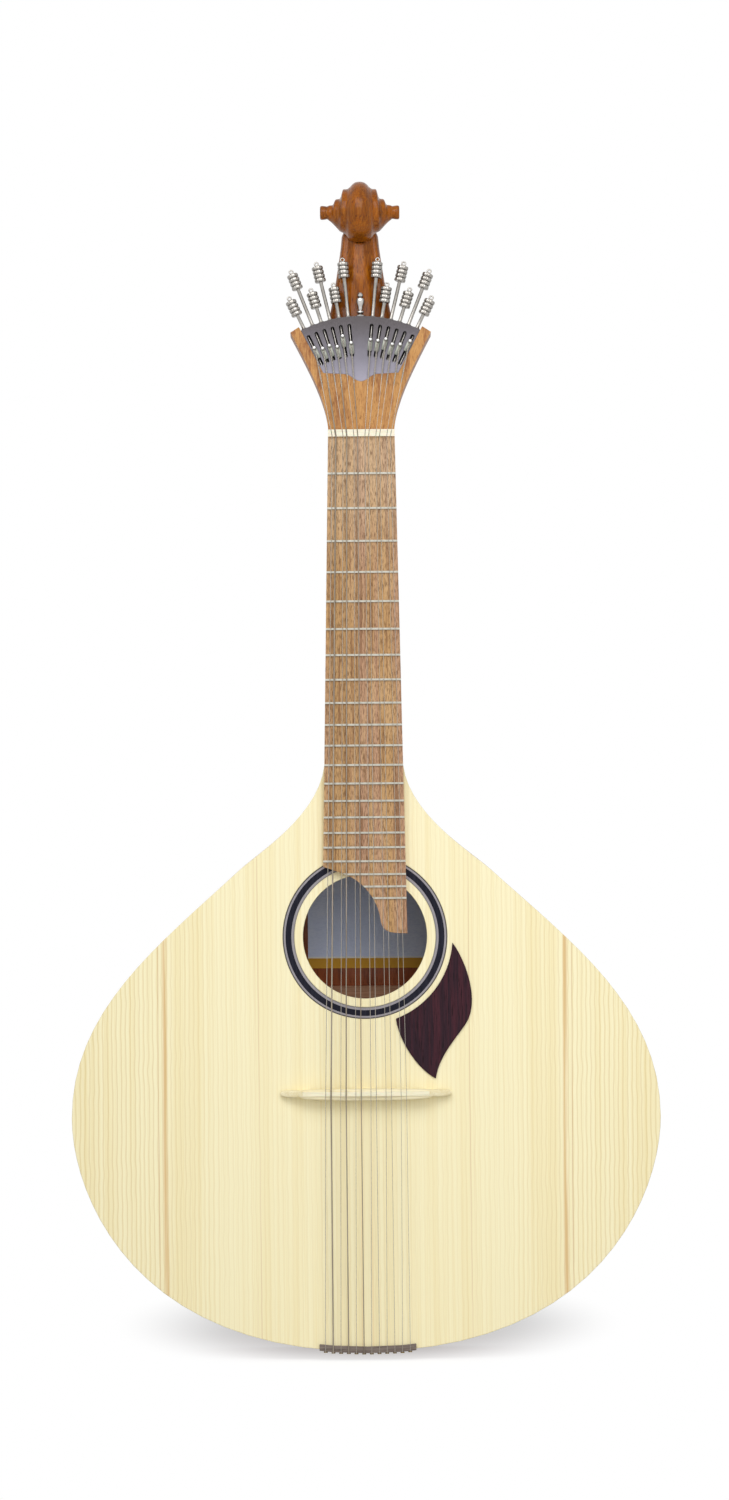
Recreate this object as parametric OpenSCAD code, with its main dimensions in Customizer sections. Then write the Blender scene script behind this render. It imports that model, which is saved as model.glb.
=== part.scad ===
// Portuguese guitar: pear-shaped body, twelve strings in six courses, a fan of
// twelve watch-key tuners on a metal plate, and a carved scroll above it.
// Millimetres. +Z runs up the neck, the soundboard faces -Y, and +X is to the
// right as the player's audience sees it. The origin lies on the centre line, in
// the soundboard's front plane, at the height where a wall hanger's yoke takes
// the head.

/* [Scale and strings] */
// Vibrating length of a string, from the nut to the saddle
scale_len = 440; // [425:1:455]
// Height of the saddle above the tail end of the body
saddle_h = 173.4; // [165:0.1:182]
// Distance between the centres of two courses at the nut
nut_pitch = 7.3; // [7:0.1:7.5]
// Distance between the two strings of a course at the nut
nut_pair = 2.5; // [2:0.1:3]
// Distance between the centres of two courses at the saddle
saddle_pitch = 10.1; // [9.4:0.1:10.6]
// Distance between the two strings of a course at the saddle
saddle_pair = 3.6; // [3:0.1:4.2]
// Distance between neighbouring strings at the tail
tail_pitch = 5.16; // [4.6:0.02:5.3]
// Radius of the thickest wound string
bass_r = 0.5; // [0.42:0.02:0.55]
// Radius of the thinnest plain string
treble_r = 0.16; // [0.14:0.01:0.2]
// Space cut round a string where it crosses bone or wood
string_gap = 0.05; // [0.03:0.01:0.1]

/* [Body] */
// Full width of the body at its widest
body_w = 395; // [385:1:405]
// Height of the widest level above the tail
belly_h = 157; // [150:1:162]
// Half width of the shoulder at its reference point
shoulder_x = 85.5; // [82:0.5:89]
// Drop from the neck joint to the shoulder's reference point
shoulder_drop = 71.4; // [67:0.2:76]
// Angle of the shoulder to the centre line
shoulder_angle = 47.5; // [46:0.5:49]
// Depth of the ribs at the tail
depth_tail = 88; // [82:1:94]
// Depth of the ribs at the neck joint
depth_neck = 68; // [63:1:72]
// Rise of the back's arch across its width
back_rise = 5; // [3:0.5:7]
// Thickness of the soundboard
top_t = 2.8; // [2.4:0.1:3.4]
// Thickness of the back
back_t = 3; // [2.4:0.1:3.4]
// Thickness of the ribs
rib_t = 2.5; // [2:0.1:3]

/* [Inside the body] */
// Width of the lining glued along the ribs
lining_w = 5; // [4:0.5:6]
// Height of the lining along the ribs
lining_h = 9; // [7:0.5:11]
// Width of a brace where it is glued
brace_w = 8; // [6:0.5:10]
// Height of a brace
brace_h = 15; // [12:0.5:17]
// Distance from the soundhole's edge up to the middle of the brace above it
brace_up = 13; // [10:0.5:16]
// Distance from the rosette down to the middle of the brace below it
brace_down = 8; // [6:0.5:11]
// Distance from the saddle down to the lowest brace of the soundboard
brace_under = 62; // [56:1:68]
// Distance of the back's brace above the soundhole's centre
bar_up = 58; // [56:1:62]
// Distance of the back's brace below the soundhole's centre
bar_down = 40; // [32:1:44]
// Distance from the saddle down to the back's third brace
bar_saddle = 12; // [6:1:18]
// Distance from the saddle down to the back's lowest brace
bar_low = 88; // [80:1:94]
// How far the carved ends of a soundboard brace run
brace_toe = 45; // [35:1:50]
// Thickness of the patch under the bridge
patch_t = 2.2; // [1.6:0.1:3]
// Depth of the neck block along the neck
neck_block_h = 40; // [34:1:46]
// Width of the tail block
tail_block_w = 72; // [68:1:84]
// Depth of the tail block along the body
tail_block_h = 18; // [15:1:22]
// Width of the paper label
label_w = 100; // [90:1:104]
// Height of the paper label
label_h = 76; // [66:1:78]
// Thickness of the paper label
label_t = 0.3; // [0.2:0.05:0.4]

/* [Soundhole and inlay] */
// Height of the soundhole's centre above the saddle
hole_up = 104.9; // [101:0.1:107.5]
// Radius of the soundhole
hole_r = 41.6; // [39:0.1:43]
// Inner radius of the rosette
rosette_r = 47.5; // [46.5:0.1:49]
// Width of each grey line of the rosette
line_w = 1.9; // [1.5:0.1:2.2]
// Width of the black band between the grey lines
band_w = 3.9; // [3:0.1:4.5]
// Depth of the rosette's channel
inlay_t = 0.8; // [0.6:0.1:1.2]
// Thickness of the leaf-shaped pickguard
guard_t = 1.2; // [0.8:0.1:1.8]
// Radius of the pickguard's edge along the rosette
guard_r = 58.8; // [57.8:0.1:60]

/* [Neck and fingerboard] */
// Half width of the fingerboard at the nut
nut_half = 22.35; // [21.8:0.05:23]
// Widening of the fingerboard's half width per millimetre
board_taper = 0.0184; // [0.017:0.0002:0.02]
// Thickness of the fingerboard at its crown
board_t = 7; // [6:0.1:8]
// Radius of the fingerboard's camber
camber_r = 220; // [200:1:260]
// Length of the fingerboard on the bass side
board_bass_len = 288; // [284:1:292]
// Length of the fingerboard on the treble side
board_len = 333; // [326:1:336]
// Number of frets
fret_count = 21; // [18:1:21]
// Width of a fret's crown
fret_w = 1.3; // [1:0.1:1.6]
// Height of a fret's crown
fret_h = 1; // [0.8:0.1:1.2]
// Thickness of the nut along the string
nut_t = 4.7; // [4:0.1:5.2]
// Height of the nut above the fingerboard's crown
nut_rise = 2.1; // [1.8:0.1:2.6]
// Depth of the neck's wood at the nut
neck_depth = 16; // [14.5:0.5:17.5]
// Extra depth of the neck's wood where the heel begins
neck_swell = 3; // [2:0.5:5]
// Length of the heel's curve along the neck
heel_len = 62; // [52:1:70]

/* [Bridge and tail] */
// Full width of the bridge
bridge_w = 114.7; // [110:0.1:120]
// Height of the bridge's wood over the soundboard
bridge_h = 10.5; // [9.5:0.1:11.5]
// Height of the string centres over the soundboard at the saddle
string_h = 13.5; // [12.8:0.1:14.5]
// Width of the bone saddle strip
saddle_w = 85; // [80:0.5:92]
// Thickness of the bone saddle strip
saddle_t = 3; // [2.6:0.1:3.4]
// Width of the tail saddle
tail_w = 64.9; // [63:0.1:68]
// Height of the tail saddle's face on the soundboard
tail_face = 3.4; // [2.8:0.1:4.2]
// How far the tail saddle stands over the soundboard
tail_proud = 2.2; // [1.8:0.1:2.8]
// How far the tail saddle stands past the ribs
tail_lip = 1; // [0.8:0.1:1.3]
// Depth of the tail saddle's lip along the ribs
tail_lip_d = 5; // [4:0.5:5.5]
// Radius of a tail pin
pin_r = 0.9; // [0.8:0.05:1]
// Distance from the soundboard's front to the tail pins
pin_y = 10; // [9:0.5:13]
// How far a tail pin stands out of the ribs
pin_out = 3; // [2.6:0.1:3.4]

/* [Tuning machine] */
// Angle by which the head leans back
head_tilt = 8; // [6.5:0.5:9.5]
// Radius of the plate's top edge about the fan's centre
fan_r = 88; // [87:0.5:90]
// Angle between neighbouring tuners
fan_step = 4; // [3.96:0.02:4.04]
// Angle of the tuner next to the centre line
fan_first = 5.3; // [5.2:0.05:5.5]
// Thickness of the slotted plate
plate_t = 1.2; // [1:0.1:1.4]
// How far the plate stands over the wood
plate_proud = 0.2; // [0.1:0.1:0.4]
// Length of a slot in the plate
slot_len = 22.8; // [22:0.1:23.4]
// Width of a slot in the plate
slot_w = 2.5; // [2.4:0.05:2.6]
// Distance from the plate's top edge to the slots
slot_edge = 5; // [4.8:0.1:5.4]
// Depth of the metal frame behind the plate, inside
frame_depth = 6; // [5.8:0.1:6.4]
// Thickness of the frame's floor
frame_t = 1; // [0.8:0.1:1.2]
// Radius of a tuner's smooth stem
stem_r = 1.2; // [1.1:0.05:1.3]
// Radius of a tuner's threaded rod
rod_r = 1; // [0.9:0.02:1.02]
// Space between a turning rod and its hole
rod_gap = 0.05; // [0.03:0.01:0.08]
// Radius of a knob
knob_r = 3.8; // [3.5:0.1:4]
// Height of one knurled band of a knob
band_h = 2.1; // [1.9:0.1:2.2]
// Height of the groove between two bands
groove_h = 0.7; // [0.5:0.1:0.8]
// Distance from the plate's top edge to the middle of a short tuner's knob
short_reach = 16.5; // [15.8:0.1:17]
// Distance from the plate's top edge to the middle of a long tuner's knob
long_reach = 32.8; // [32.2:0.1:34]
// Radius of a hook's round head
ball_r = 1.35; // [1.2:0.05:1.45]
// Height of the finial on the plate's top edge
finial_h = 17; // [15:0.5:19]

/* [Head and scroll] */
// Thickness of the fan-shaped part of the head
head_t = 16; // [15:0.5:18]
// Height of the scroll's axis above the fan's centre, along the head
scroll_h = 160.2; // [157:0.2:164]
// Radius of the scroll's outer turn
scroll_r = 20.9; // [20:0.1:22]
// Width of the scroll's middle band
scroll_band = 12.6; // [11:0.1:14]
// Full width of the scroll across both eyes
scroll_w = 53.6; // [50:0.1:56]

/* [Hidden] */
$fn = 48;
far = 400;
cut = 1;

// Tuners, hooks and strings are counted from the bass side
tuner_count = 12;
// How far each hook stands below the top of its slot, as tuned in the photograph
hook_drop = [10.1, 12.7, 12.4, 14.5, 8.1, 13.5, 11.3, 11.4, 9.4, 11.7, 10.1, 5.4];
// The strings' radii as shares of the way from the thinnest to the thickest
string_share = [0.15, 1, 0.1, 0.75, 0.05, 0.5, 0.12, 0.12, 0.05, 0.05, 0, 0];

// Levels above the tail end of the body
nut_z = saddle_h + scale_len;
body_top = saddle_h + scale_len / 2;
hole_h = saddle_h + hole_up;
neck_top = nut_z + nut_t;
joint_half = board_half(nut_z - body_top);

// The fan's centre and the level of the hanging yoke
fan_z = nut_z - 5.5;
head_y = -4;
hang_z = fan_z + 30;

function board_half(d) = nut_half + board_taper * d;
function camber(x) = camber_r - sqrt(camber_r * camber_r - x * x);

// Points of a cubic curve, without its last one
function curve(a, b, c, d, n = 12) = [for (k = [0:n - 1]) let (t = k / n, s = 1 - t)
  s * s * s * a + 3 * s * s * t * b + 3 * s * t * t * c + t * t * t * d];

// How far each curve of the outline runs on before it turns
neck_pull = 34;
shoulder_pull_up = 18.5;
shoulder_pull_down = 72;
belly_pull_up = 73;
belly_pull_down = 53;
tail_pull = 155;

// The body's right half from the neck joint round to the tail, front view
shoulder = [shoulder_x, body_top - shoulder_drop];
slope = [sin(shoulder_angle), -cos(shoulder_angle)];
belly = [body_w / 2, belly_h];
half_body = concat(
  curve([joint_half, body_top], [joint_half + 4, body_top - neck_pull],
        shoulder - shoulder_pull_up * slope, shoulder, 14),
  curve(shoulder, shoulder + shoulder_pull_down * slope, belly + [0, belly_pull_up], belly, 16),
  curve(belly, belly - [0, belly_pull_down], [tail_pull, 0], [0, 0], 20),
  [[0, 0]]);
last = len(half_body) - 1;

function unit(v) = v / norm(v);
function side_normal(k) = k == 0 ? [1, 0] : k == last ? [0, -1]
  : let (t = unit(half_body[k + 1] - half_body[k - 1])) [-t[1], t[0]];
// The half outline moved inwards, its ends kept on the joint's plane and the centre line
function inset_half(d) = [for (k = [0:last]) half_body[k] - d * side_normal(k)];
function mirrored(pts) = [for (k = [len(pts) - 1:-1:0]) [-pts[k][0], pts[k][1]]];
function inset_body(d) = concat(inset_half(d), mirrored([for (k = [0:last - 1]) inset_half(d)[k]]));
// Half width of the space inside an inset outline, and the outline's lower edge
function half_at(z, d) = lookup(z, [for (p = inset_half(d)) [p[1], p[0]]]);
tail_pts = [for (k = [last - 16:last]) half_body[k]];
function tail_edge(x) = lookup(abs(x), [for (p = tail_pts) [p[0], p[1]]]);

// The back: an arch across the body on a plane that leans in towards the neck
back_lean = atan2(depth_tail - depth_neck, body_top);
function arch(x) = back_rise * (1 - pow(x / (body_w / 2), 2));
arch_pts = [for (k = [-12:12]) [k * body_w / 23, arch(k * body_w / 23)]];

module along_y(from, to) {
  translate([0, to, 0])
    rotate([90, 0, 0])
      linear_extrude(to - from)
        children();
}

// A prism that runs along the leaning back, drawn as across and deep
module along_back() {
  translate([0, depth_tail, 0])
    rotate([back_lean, 0, 0])
      translate([0, 0, -60])
        linear_extrude(body_top + 120)
          children();
}

// Everything in front of the back's inner face, moved back by d
module before_back(d = 0) {
  along_back()
    polygon(concat([[-far, -far]], [for (p = arch_pts) p + [0, d]], [[far, -far]]));
}

// A skin on the back's inner face, from a to b behind it
module back_skin(a, b) {
  along_back()
    polygon(concat([for (p = arch_pts) p + [0, b]],
                   [for (k = [len(arch_pts) - 1:-1:0]) arch_pts[k] + [0, a]]));
}

module slab(x, y, z) {
  translate([x[0], y[0], z[0]])
    cube([x[1] - x[0], y[1] - y[0], z[1] - z[0]]);
}

module soundboard() {
  color("#F6EABB")
    difference() {
      along_y(0, top_t) polygon(inset_body(0));
      at_hole() cylinder(r = hole_r, h = far, center = true, $fn = 128);
      at_hole() translate([0, 0, -inlay_t])
        ring(rosette_r, rosette_out, inlay_t + cut);
    }
}

rosette_out = rosette_r + 2 * line_w + band_w;

// The soundhole's axis, pointing out of the front
module at_hole() {
  translate([0, 0, hole_h])
    rotate([90, 0, 0])
      children();
}

module ring(inner, outer, h) {
  difference() {
    cylinder(r = outer, h = h, $fn = 128);
    translate([0, 0, -cut]) cylinder(r = inner, h = h + 2 * cut, $fn = 128);
  }
}

module rosette_band() {
  color("#22222E")
    at_hole() translate([0, 0, -inlay_t])
      ring(rosette_r + line_w, rosette_r + line_w + band_w, inlay_t);
}

module rosette_lines() {
  color("#8D8A92")
    at_hole() translate([0, 0, -inlay_t]) {
      ring(rosette_r, rosette_r + line_w, inlay_t);
      ring(rosette_out - line_w, rosette_out, inlay_t);
    }
}

module back_plate() {
  color("#7A3B22")
    intersection() {
      along_y(20, depth_tail + 40) polygon(inset_body(0));
      back_skin(0, back_t);
    }
}

module rib(side) {
  outer = inset_half(0);
  inner = inset_half(rib_t);
  color("#8A4527")
    difference() {
      intersection() {
        mirror([side < 0 ? 1 : 0, 0, 0])
          along_y(top_t, depth_tail + 30)
            polygon(concat(outer, [for (k = [last:-1:0]) inner[k]]));
        before_back();
      }
      for (i = [0:tuner_count - 1])
        if (tail_x(i) * side > 0)
          pin_axis(i) cylinder(r = pin_r + string_gap, h = far, center = true);
    }
}

// A strip along the inside of the ribs, stopped at the two blocks
module lining_ring() {
  difference() {
    along_y(top_t, depth_tail + 30)
      difference() {
        polygon(inset_body(rib_t));
        polygon(inset_body(rib_t + lining_w));
      }
    slab([-far, far], [-far, far], [body_top - neck_block_h, body_top + cut]);
    slab([-tail_block_w / 2, tail_block_w / 2], [-far, far], [-far, tail_block_h]);
  }
}

module top_lining() {
  color("#D8B88A")
    intersection() {
      lining_ring();
      slab([-far, far], [top_t, top_t + lining_h], [-far, 2 * far]);
    }
}

module back_lining() {
  color("#D8B88A")
    intersection() {
      lining_ring();
      back_skin(-lining_h, 0);
    }
}

// Heights of the braces above the tail, measured from what they stand by
brace_gap = 0.4;
brace_above = hole_h + hole_r + brace_up;
brace_below = hole_h - rosette_out - brace_down;
brace_low = saddle_h - brace_under;
back_bars = [hole_h + bar_up, hole_h - bar_down, saddle_h - bar_saddle, saddle_h - bar_low];
patch_out = 6;
patch_half = 13;

function bar_half(z) = min(half_at(z - brace_w / 2, rib_t + lining_w),
                           half_at(z + brace_w / 2, rib_t + lining_w)) - brace_gap;

// A bar under the soundboard, its ends carved down
module top_bar(z) {
  h = bar_half(z);
  toe = brace_h * 0.35;
  translate([0, 0, z - brace_w / 2])
    linear_extrude(brace_w)
      polygon([[-h, top_t], [h, top_t], [h, top_t + toe], [h - brace_toe, top_t + brace_h],
               [brace_toe - h, top_t + brace_h], [-h, top_t + toe]]);
}

module top_braces() {
  color("#E6CF9C") {
    top_bar(brace_above);
    top_bar(brace_below);
    top_bar(brace_low);
    slab([-bridge_w / 2 - patch_out, bridge_w / 2 + patch_out], [top_t, top_t + patch_t],
         [saddle_h - patch_half, saddle_h + patch_half]);
  }
}

module back_braces() {
  color("#E6CF9C")
    for (z = back_bars)
      intersection() {
        slab([-bar_half(z), bar_half(z)], [0, far], [z - brace_w / 2, z + brace_w / 2]);
        back_skin(-brace_h * 0.8, 0);
      }
}

module neck_block() {
  color("#A4713F")
    intersection() {
      along_y(top_t, depth_tail + 30) polygon(inset_body(rib_t));
      slab([-far, far], [0, far], [body_top - neck_block_h, body_top]);
      before_back();
    }
}

module tail_block() {
  color("#A4713F")
    difference() {
      intersection() {
        along_y(top_t, depth_tail + 30) polygon(inset_body(rib_t));
        slab([-tail_block_w / 2, tail_block_w / 2], [0, far], [0, tail_block_h]);
        before_back();
      }
      for (i = [0:tuner_count - 1])
        pin_axis(i) cylinder(r = pin_r + string_gap, h = 2 * pin_in, center = true);
    }
}

// The label lies on the back under the soundhole, a little to the treble side
label_shift = 8;
label_low = hole_h - 24;

module paper_label() {
  color("#C9CFDA")
    intersection() {
      slab([label_shift - label_w / 2, label_shift + label_w / 2], [0, far],
           [label_low, label_low + label_h]);
      back_skin(-label_t, 0);
    }
}

// The leaf, drawn from the soundhole's centre: an arc along the rosette and two long edges
guard_start = 20.2;
guard_end = 85.7;
guard_low = guard_r * [sin(guard_start), -cos(guard_start)];
guard_tip = guard_r * [sin(guard_end), -cos(guard_end)];
guard_k = guard_r / 58.8;
guard_side = guard_k * [66.5, -60];
guard_foot = guard_k * [46.8, -95.5];
guard_outline = concat(
  [for (k = [0:14]) let (a = guard_start + (guard_end - guard_start) * k / 15)
    guard_r * [sin(a), -cos(a)]],
  curve(guard_tip, guard_k * [68, -17], guard_k * [77.5, -45.5], guard_side),
  curve(guard_side, guard_k * [58, -71.5], guard_k * [48.8, -82], guard_foot),
  curve(guard_foot, guard_k * [36, -90], guard_k * [22.5, -72], guard_low));

module pickguard() {
  color("#3A2128")
    translate([0, 0, hole_h])
      along_y(-guard_t, 0) polygon(guard_outline);
}

// A closed skin through a stack of outlines with equal numbers of points
module loft(rows) {
  n = len(rows[0]);
  m = len(rows);
  polyhedron(
    points = [for (r = rows) each r],
    faces = concat(
      [[for (k = [0:n - 1]) k]],
      [[for (k = [n - 1:-1:0]) (m - 1) * n + k]],
      [for (j = [0:m - 2], k = [0:n - 1]) [j * n + k, (j + 1) * n + k, (j + 1) * n + (k + 1) % n]],
      [for (j = [0:m - 2], k = [0:n - 1]) [j * n + k, (j + 1) * n + (k + 1) % n, j * n + (k + 1) % n]]));
}

function signed(v, e) = (v < 0 ? -1 : 1) * pow(abs(v), e);

// A flat-fronted section of the neck: half width, depth, and how square it is
function neck_row(w, d, square, z, n = 22) = [for (k = [0:n]) let (a = 180 * k / n)
  [w * signed(cos(a), 2 / square), d * pow(abs(sin(a)), 2 / square), z]];

heel_depth = depth_neck + back_t + arch(0) + 0.4;
neck_steps = 26;
// Rows crowd together in the heel's curve
neck_rows = [for (k = [0:neck_steps]) let (
    t = pow(k / neck_steps, 1.8),
    z = body_top + (neck_top - body_top) * t,
    s = min(1, (z - body_top) / heel_len),
    swell = neck_swell * (1 - t),
    fall = pow(1 - s, 2.3))
  neck_row(board_half(max(0, nut_z - z)), neck_depth + swell + (heel_depth - neck_depth - neck_swell) * fall,
           2.3 + 3.2 * fall, z)];

module neck() {
  color("#A8652F") loft(neck_rows);
}

// The fingerboard's plan, with the S-shaped end over the soundhole
function board_pt(x, d) = [x, nut_z - d];
board_end = concat(
  curve(board_pt(board_half(board_len), board_len), board_pt(20, board_len - 0.5),
        board_pt(12, board_len + 0.5), board_pt(10.6, board_len - 8), 6),
  curve(board_pt(10.6, board_len - 8), board_pt(9.6, board_len - 22),
        board_pt(-1, board_len - 35), board_pt(-11.8, board_bass_len + 5.8), 10),
  curve(board_pt(-11.8, board_bass_len + 5.8), board_pt(-17, board_bass_len + 3.6),
        board_pt(-22, board_bass_len + 2), board_pt(-board_half(board_bass_len), board_bass_len), 5),
  [board_pt(-board_half(board_bass_len), board_bass_len)]);
board_plan = concat([board_pt(-nut_half, 0), board_pt(nut_half, 0)], board_end);

// Points of the cambered face, raised by h over the fingerboard's crown
function crown(h, n = 10) = [for (k = [-n:n]) let (x = k * 32 / n) [x, -board_t - h + camber(x)]];

module cambered(h) {
  translate([0, 0, nut_z - far])
    linear_extrude(far + 20)
      polygon(concat([[-32, 0]], crown(h), [[32, 0]]));
}

module fingerboard() {
  color("#A47A55")
    intersection() {
      along_y(-board_t - cut, 0) polygon(board_plan);
      cambered(0);
    }
}

function fret_d(n) = scale_len * (1 - pow(2, -n / 12));

module frets() {
  color("#D9D9DC")
    intersection() {
      along_y(-board_t - fret_h - cut, 0) polygon(board_plan);
      for (n = [1:fret_count])
        translate([0, 0, nut_z - fret_d(n) - fret_w / 2])
          linear_extrude(fret_w)
            polygon(concat(crown(fret_h), [for (k = [20:-1:0]) crown(0)[k]]));
    }
}

// The twelve strings, counted from the bass side
function string_r(i) = treble_r + (bass_r - treble_r) * string_share[i];
function course_x(i, pitch, pair) = (floor(i / 2) - 2.5) * pitch + (i % 2 - 0.5) * pair;
function nut_x(i) = course_x(i, nut_pitch, nut_pair);
function saddle_x(i) = course_x(i, saddle_pitch, saddle_pair);
function tail_x(i) = (i - (tuner_count - 1) / 2) * tail_pitch;

// Height of the string centres in front of the soundboard's plane
string_rest = 0.04;
function nut_y(i) = -board_t - nut_rise + 0.5 + camber(nut_x(i));
function saddle_y(i) = -string_h + bass_r - string_r(i) + camber(saddle_x(i));
function tail_face_y(i) = -tail_proud - string_r(i) - string_rest;
function tail_lip_z(i) = tail_edge(tail_x(i)) - tail_lip - string_r(i) - 2 * string_rest;

// A string runs from its hook over nut, saddle and tail saddle to its pin
function string_path(i) = [
  hook_end(i),
  [nut_x(i), nut_y(i), nut_z],
  [saddle_x(i), saddle_y(i), saddle_h - saddle_t / 2],
  [tail_x(i), tail_face_y(i), tail_edge(tail_x(i)) + tail_face + 0.8],
  [tail_x(i), tail_face_y(i), tail_lip_z(i)],
  [tail_x(i), tail_lip_d + 0.5, tail_lip_z(i)],
  [tail_x(i), pin_y - pin_r - string_r(i) - string_rest, tail_lip_z(i) + 0.2]];

// A round tube through points whose bends lie in planes square to X
module tube(path, r, sides = 8) {
  n = len(path) - 1;
  step = [for (k = [0:n - 1]) unit(path[k + 1] - path[k])];
  loft([for (k = [0:n])
    let (before = step[max(0, k - 1)], after = step[min(n - 1, k)],
         t = unit(before + after), stretch = 1 / sqrt((1 + before * after) / 2),
         v = unit([1, 0, 0] - t[0] * t), u = cross(t, v))
    [for (j = [0:sides - 1]) let (a = 360 * (j + 0.5) / sides)
      path[k] + r * (cos(a) * v + stretch * sin(a) * u)]]);
}

module course(c) {
  color("#B9B4A8")
    for (i = [2 * c, 2 * c + 1])
      tube(string_path(i), string_r(i));
}

// A slot for a string in the nut, turned and sloped with the string beyond it
module nut_slot(i) {
  p = string_path(i);
  v = p[0] - p[1];
  r = string_r(i) + string_gap;
  translate([nut_x(i), 0, nut_z])
    rotate([0, atan2(v[0], v[2]), 0])
      rotate([90, 0, 90])
        linear_extrude(2 * r, center = true)
          polygon([[-far, -cut], [nut_y(i) + r, -cut], [nut_y(i) + r, 0],
                   [nut_y(i) + r + v[1] / v[2] * 2 * nut_t, 2 * nut_t], [-far, 2 * nut_t]]);
}

module nut() {
  color("#EFEBD2")
    difference() {
      intersection() {
        slab([-nut_half, nut_half], [-2 * board_t, 0], [nut_z, neck_top]);
        translate([0, 0, nut_z])
          linear_extrude(nut_t)
            polygon(concat([[-32, 0]], crown(nut_rise), [[32, 0]]));
      }
      for (i = [0:tuner_count - 1])
        nut_slot(i);
    }
}

// The bridge: a bowed plan and an arched elevation
bridge_front = 3.3;
bridge_back = 4.6;
bridge_tip = 2.4;

module bridge() {
  h = bridge_w / 2;
  color("#EFE3BC")
    difference() {
      intersection() {
        translate([0, 0, saddle_h - 10])
          linear_extrude(20)
            difference() {
              polygon(concat([[-h, 0], [-h, -4]],
                             curve([-h, -4], [6 - h, -4.5], [-saddle_w / 2 - 6, -bridge_h + 2],
                                   [-saddle_w / 2, -bridge_h], 6),
                             [[-saddle_w / 2, -bridge_h], [saddle_w / 2, -bridge_h]],
                             mirrored(curve([-h, -4], [6 - h, -4.5], [-saddle_w / 2 - 6, -bridge_h + 2],
                                            [-saddle_w / 2, -bridge_h], 6)),
                             [[h, 0]]));
              for (s = [-1, 1])
                translate([s * 22, 0]) arch_cut(16, 3.6);
            }
        along_y(-2 * bridge_h, cut)
          polygon(concat([[-h, saddle_h + bridge_front - 1]],
                         [[-saddle_w / 2, saddle_h + bridge_front], [saddle_w / 2, saddle_h + bridge_front]],
                         [[h, saddle_h + bridge_front - 1]],
                         curve([h, saddle_h - bridge_tip], [h * 0.6, saddle_h - bridge_back],
                               [h * 0.3, saddle_h - bridge_back], [0, saddle_h - bridge_back], 8),
                         curve([0, saddle_h - bridge_back], [-h * 0.3, saddle_h - bridge_back],
                               [-h * 0.6, saddle_h - bridge_back], [-h, saddle_h - bridge_tip], 8),
                         [[-h, saddle_h - bridge_tip]]));
      }
    }
}

// A low arch open towards the soundboard
module arch_cut(half, rise) {
  polygon(concat([[-half, cut], [-half, 0]],
                 curve([-half, 0], [-half * 0.8, -rise], [-half * 0.4, -rise], [0, -rise], 5),
                 curve([0, -rise], [half * 0.4, -rise], [half * 0.8, -rise], [half, 0], 5),
                 [[half, 0], [half, cut]]));
}

// The strip's height over the bridge at its two ends, and its space under the strings
saddle_show = 0.7;
saddle_rest = 0.1;

module saddle() {
  n = 10;
  color("#F7F5EA")
    translate([0, 0, saddle_h - saddle_t / 2])
      linear_extrude(saddle_t)
        polygon(concat([[-saddle_w / 2, -bridge_h]],
                       [for (k = [-n:n]) let (x = k * saddle_w / 2 / n)
                         [x, min(-string_h + bass_r + saddle_rest + camber(x), -bridge_h - saddle_show)]],
                       [[saddle_w / 2, -bridge_h]]));
}

// The hardwood strip that carries the strings over the body's edge
module tail_saddle() {
  color("#6E625C")
    intersection() {
      union() {
        along_y(-tail_proud, 0)
          difference() {
            polygon(inset_body(-tail_lip));
            polygon(inset_body(tail_face));
          }
        along_y(-tail_proud, tail_lip_d)
          difference() {
            polygon(inset_body(-tail_lip));
            polygon(inset_body(0));
          }
      }
      slab([-tail_w / 2, tail_w / 2], [-10, 20], [-10, 20]);
    }
}

// How far a pin reaches in, and the space past its end
pin_in = 9;
pin_end = 0.3;

module pin_axis(i) {
  translate([tail_x(i), pin_y, tail_edge(tail_x(i))])
    children();
}

module tail_pins() {
  color("#C9B27A")
    for (i = [0:tuner_count - 1])
      pin_axis(i) {
        translate([0, 0, -pin_out]) cylinder(r = pin_r, h = pin_out + pin_in - pin_end);
        translate([0, 0, -pin_out - 0.001]) cylinder(r = pin_r * 1.5, h = 0.7);
      }
}

// The head's own frame: depth behind its face, height along it from the fan's centre
module on_head() {
  translate([0, head_y, fan_z])
    rotate([-head_tilt, 0, 0])
      children();
}

function from_head(p) = [
  p[0],
  head_y + p[1] * cos(head_tilt) + p[2] * sin(head_tilt),
  fan_z - p[1] * sin(head_tilt) + p[2] * cos(head_tilt)];

// Tuners 0 to 11 from the bass side; every second one is long
function fan_rank(i) = i < 6 ? 5 - i : i - 6;
function fan_angle(i) = (i < 6 ? -1 : 1) * (fan_first + fan_step * fan_rank(i));
function is_long(i) = fan_rank(i) % 2 == 0;

module on_tuner(i) {
  on_head() rotate([0, fan_angle(i), 0]) children();
}

// Depths behind the head's face
plate_front = -plate_proud;
plate_back = plate_t - plate_proud;
frame_floor = plate_back + frame_depth;
recess_depth = frame_floor + frame_t;
rod_y = plate_back + frame_depth / 2;

// Distances from the fan's centre
slot_top = fan_r - slot_edge;
slot_low = slot_top - slot_len;
rim_low = fan_r - 3.5;
foot_h = 3.4;
foot_top = slot_low - 0.3;
foot_low = foot_top - foot_h;

// The plate's straight edges run just outside the last slots
plate_low = 49.2;
edge_turn = fan_first + 5 * fan_step + 1.75;
function edge_x(h) = h * tan(edge_turn);
tongue = [for (k = [-8:8]) let (x = k * 11 / 8)
  [x, plate_low - 0.8 - 2.5 * (1 + cos(180 * k / 8))]];

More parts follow.
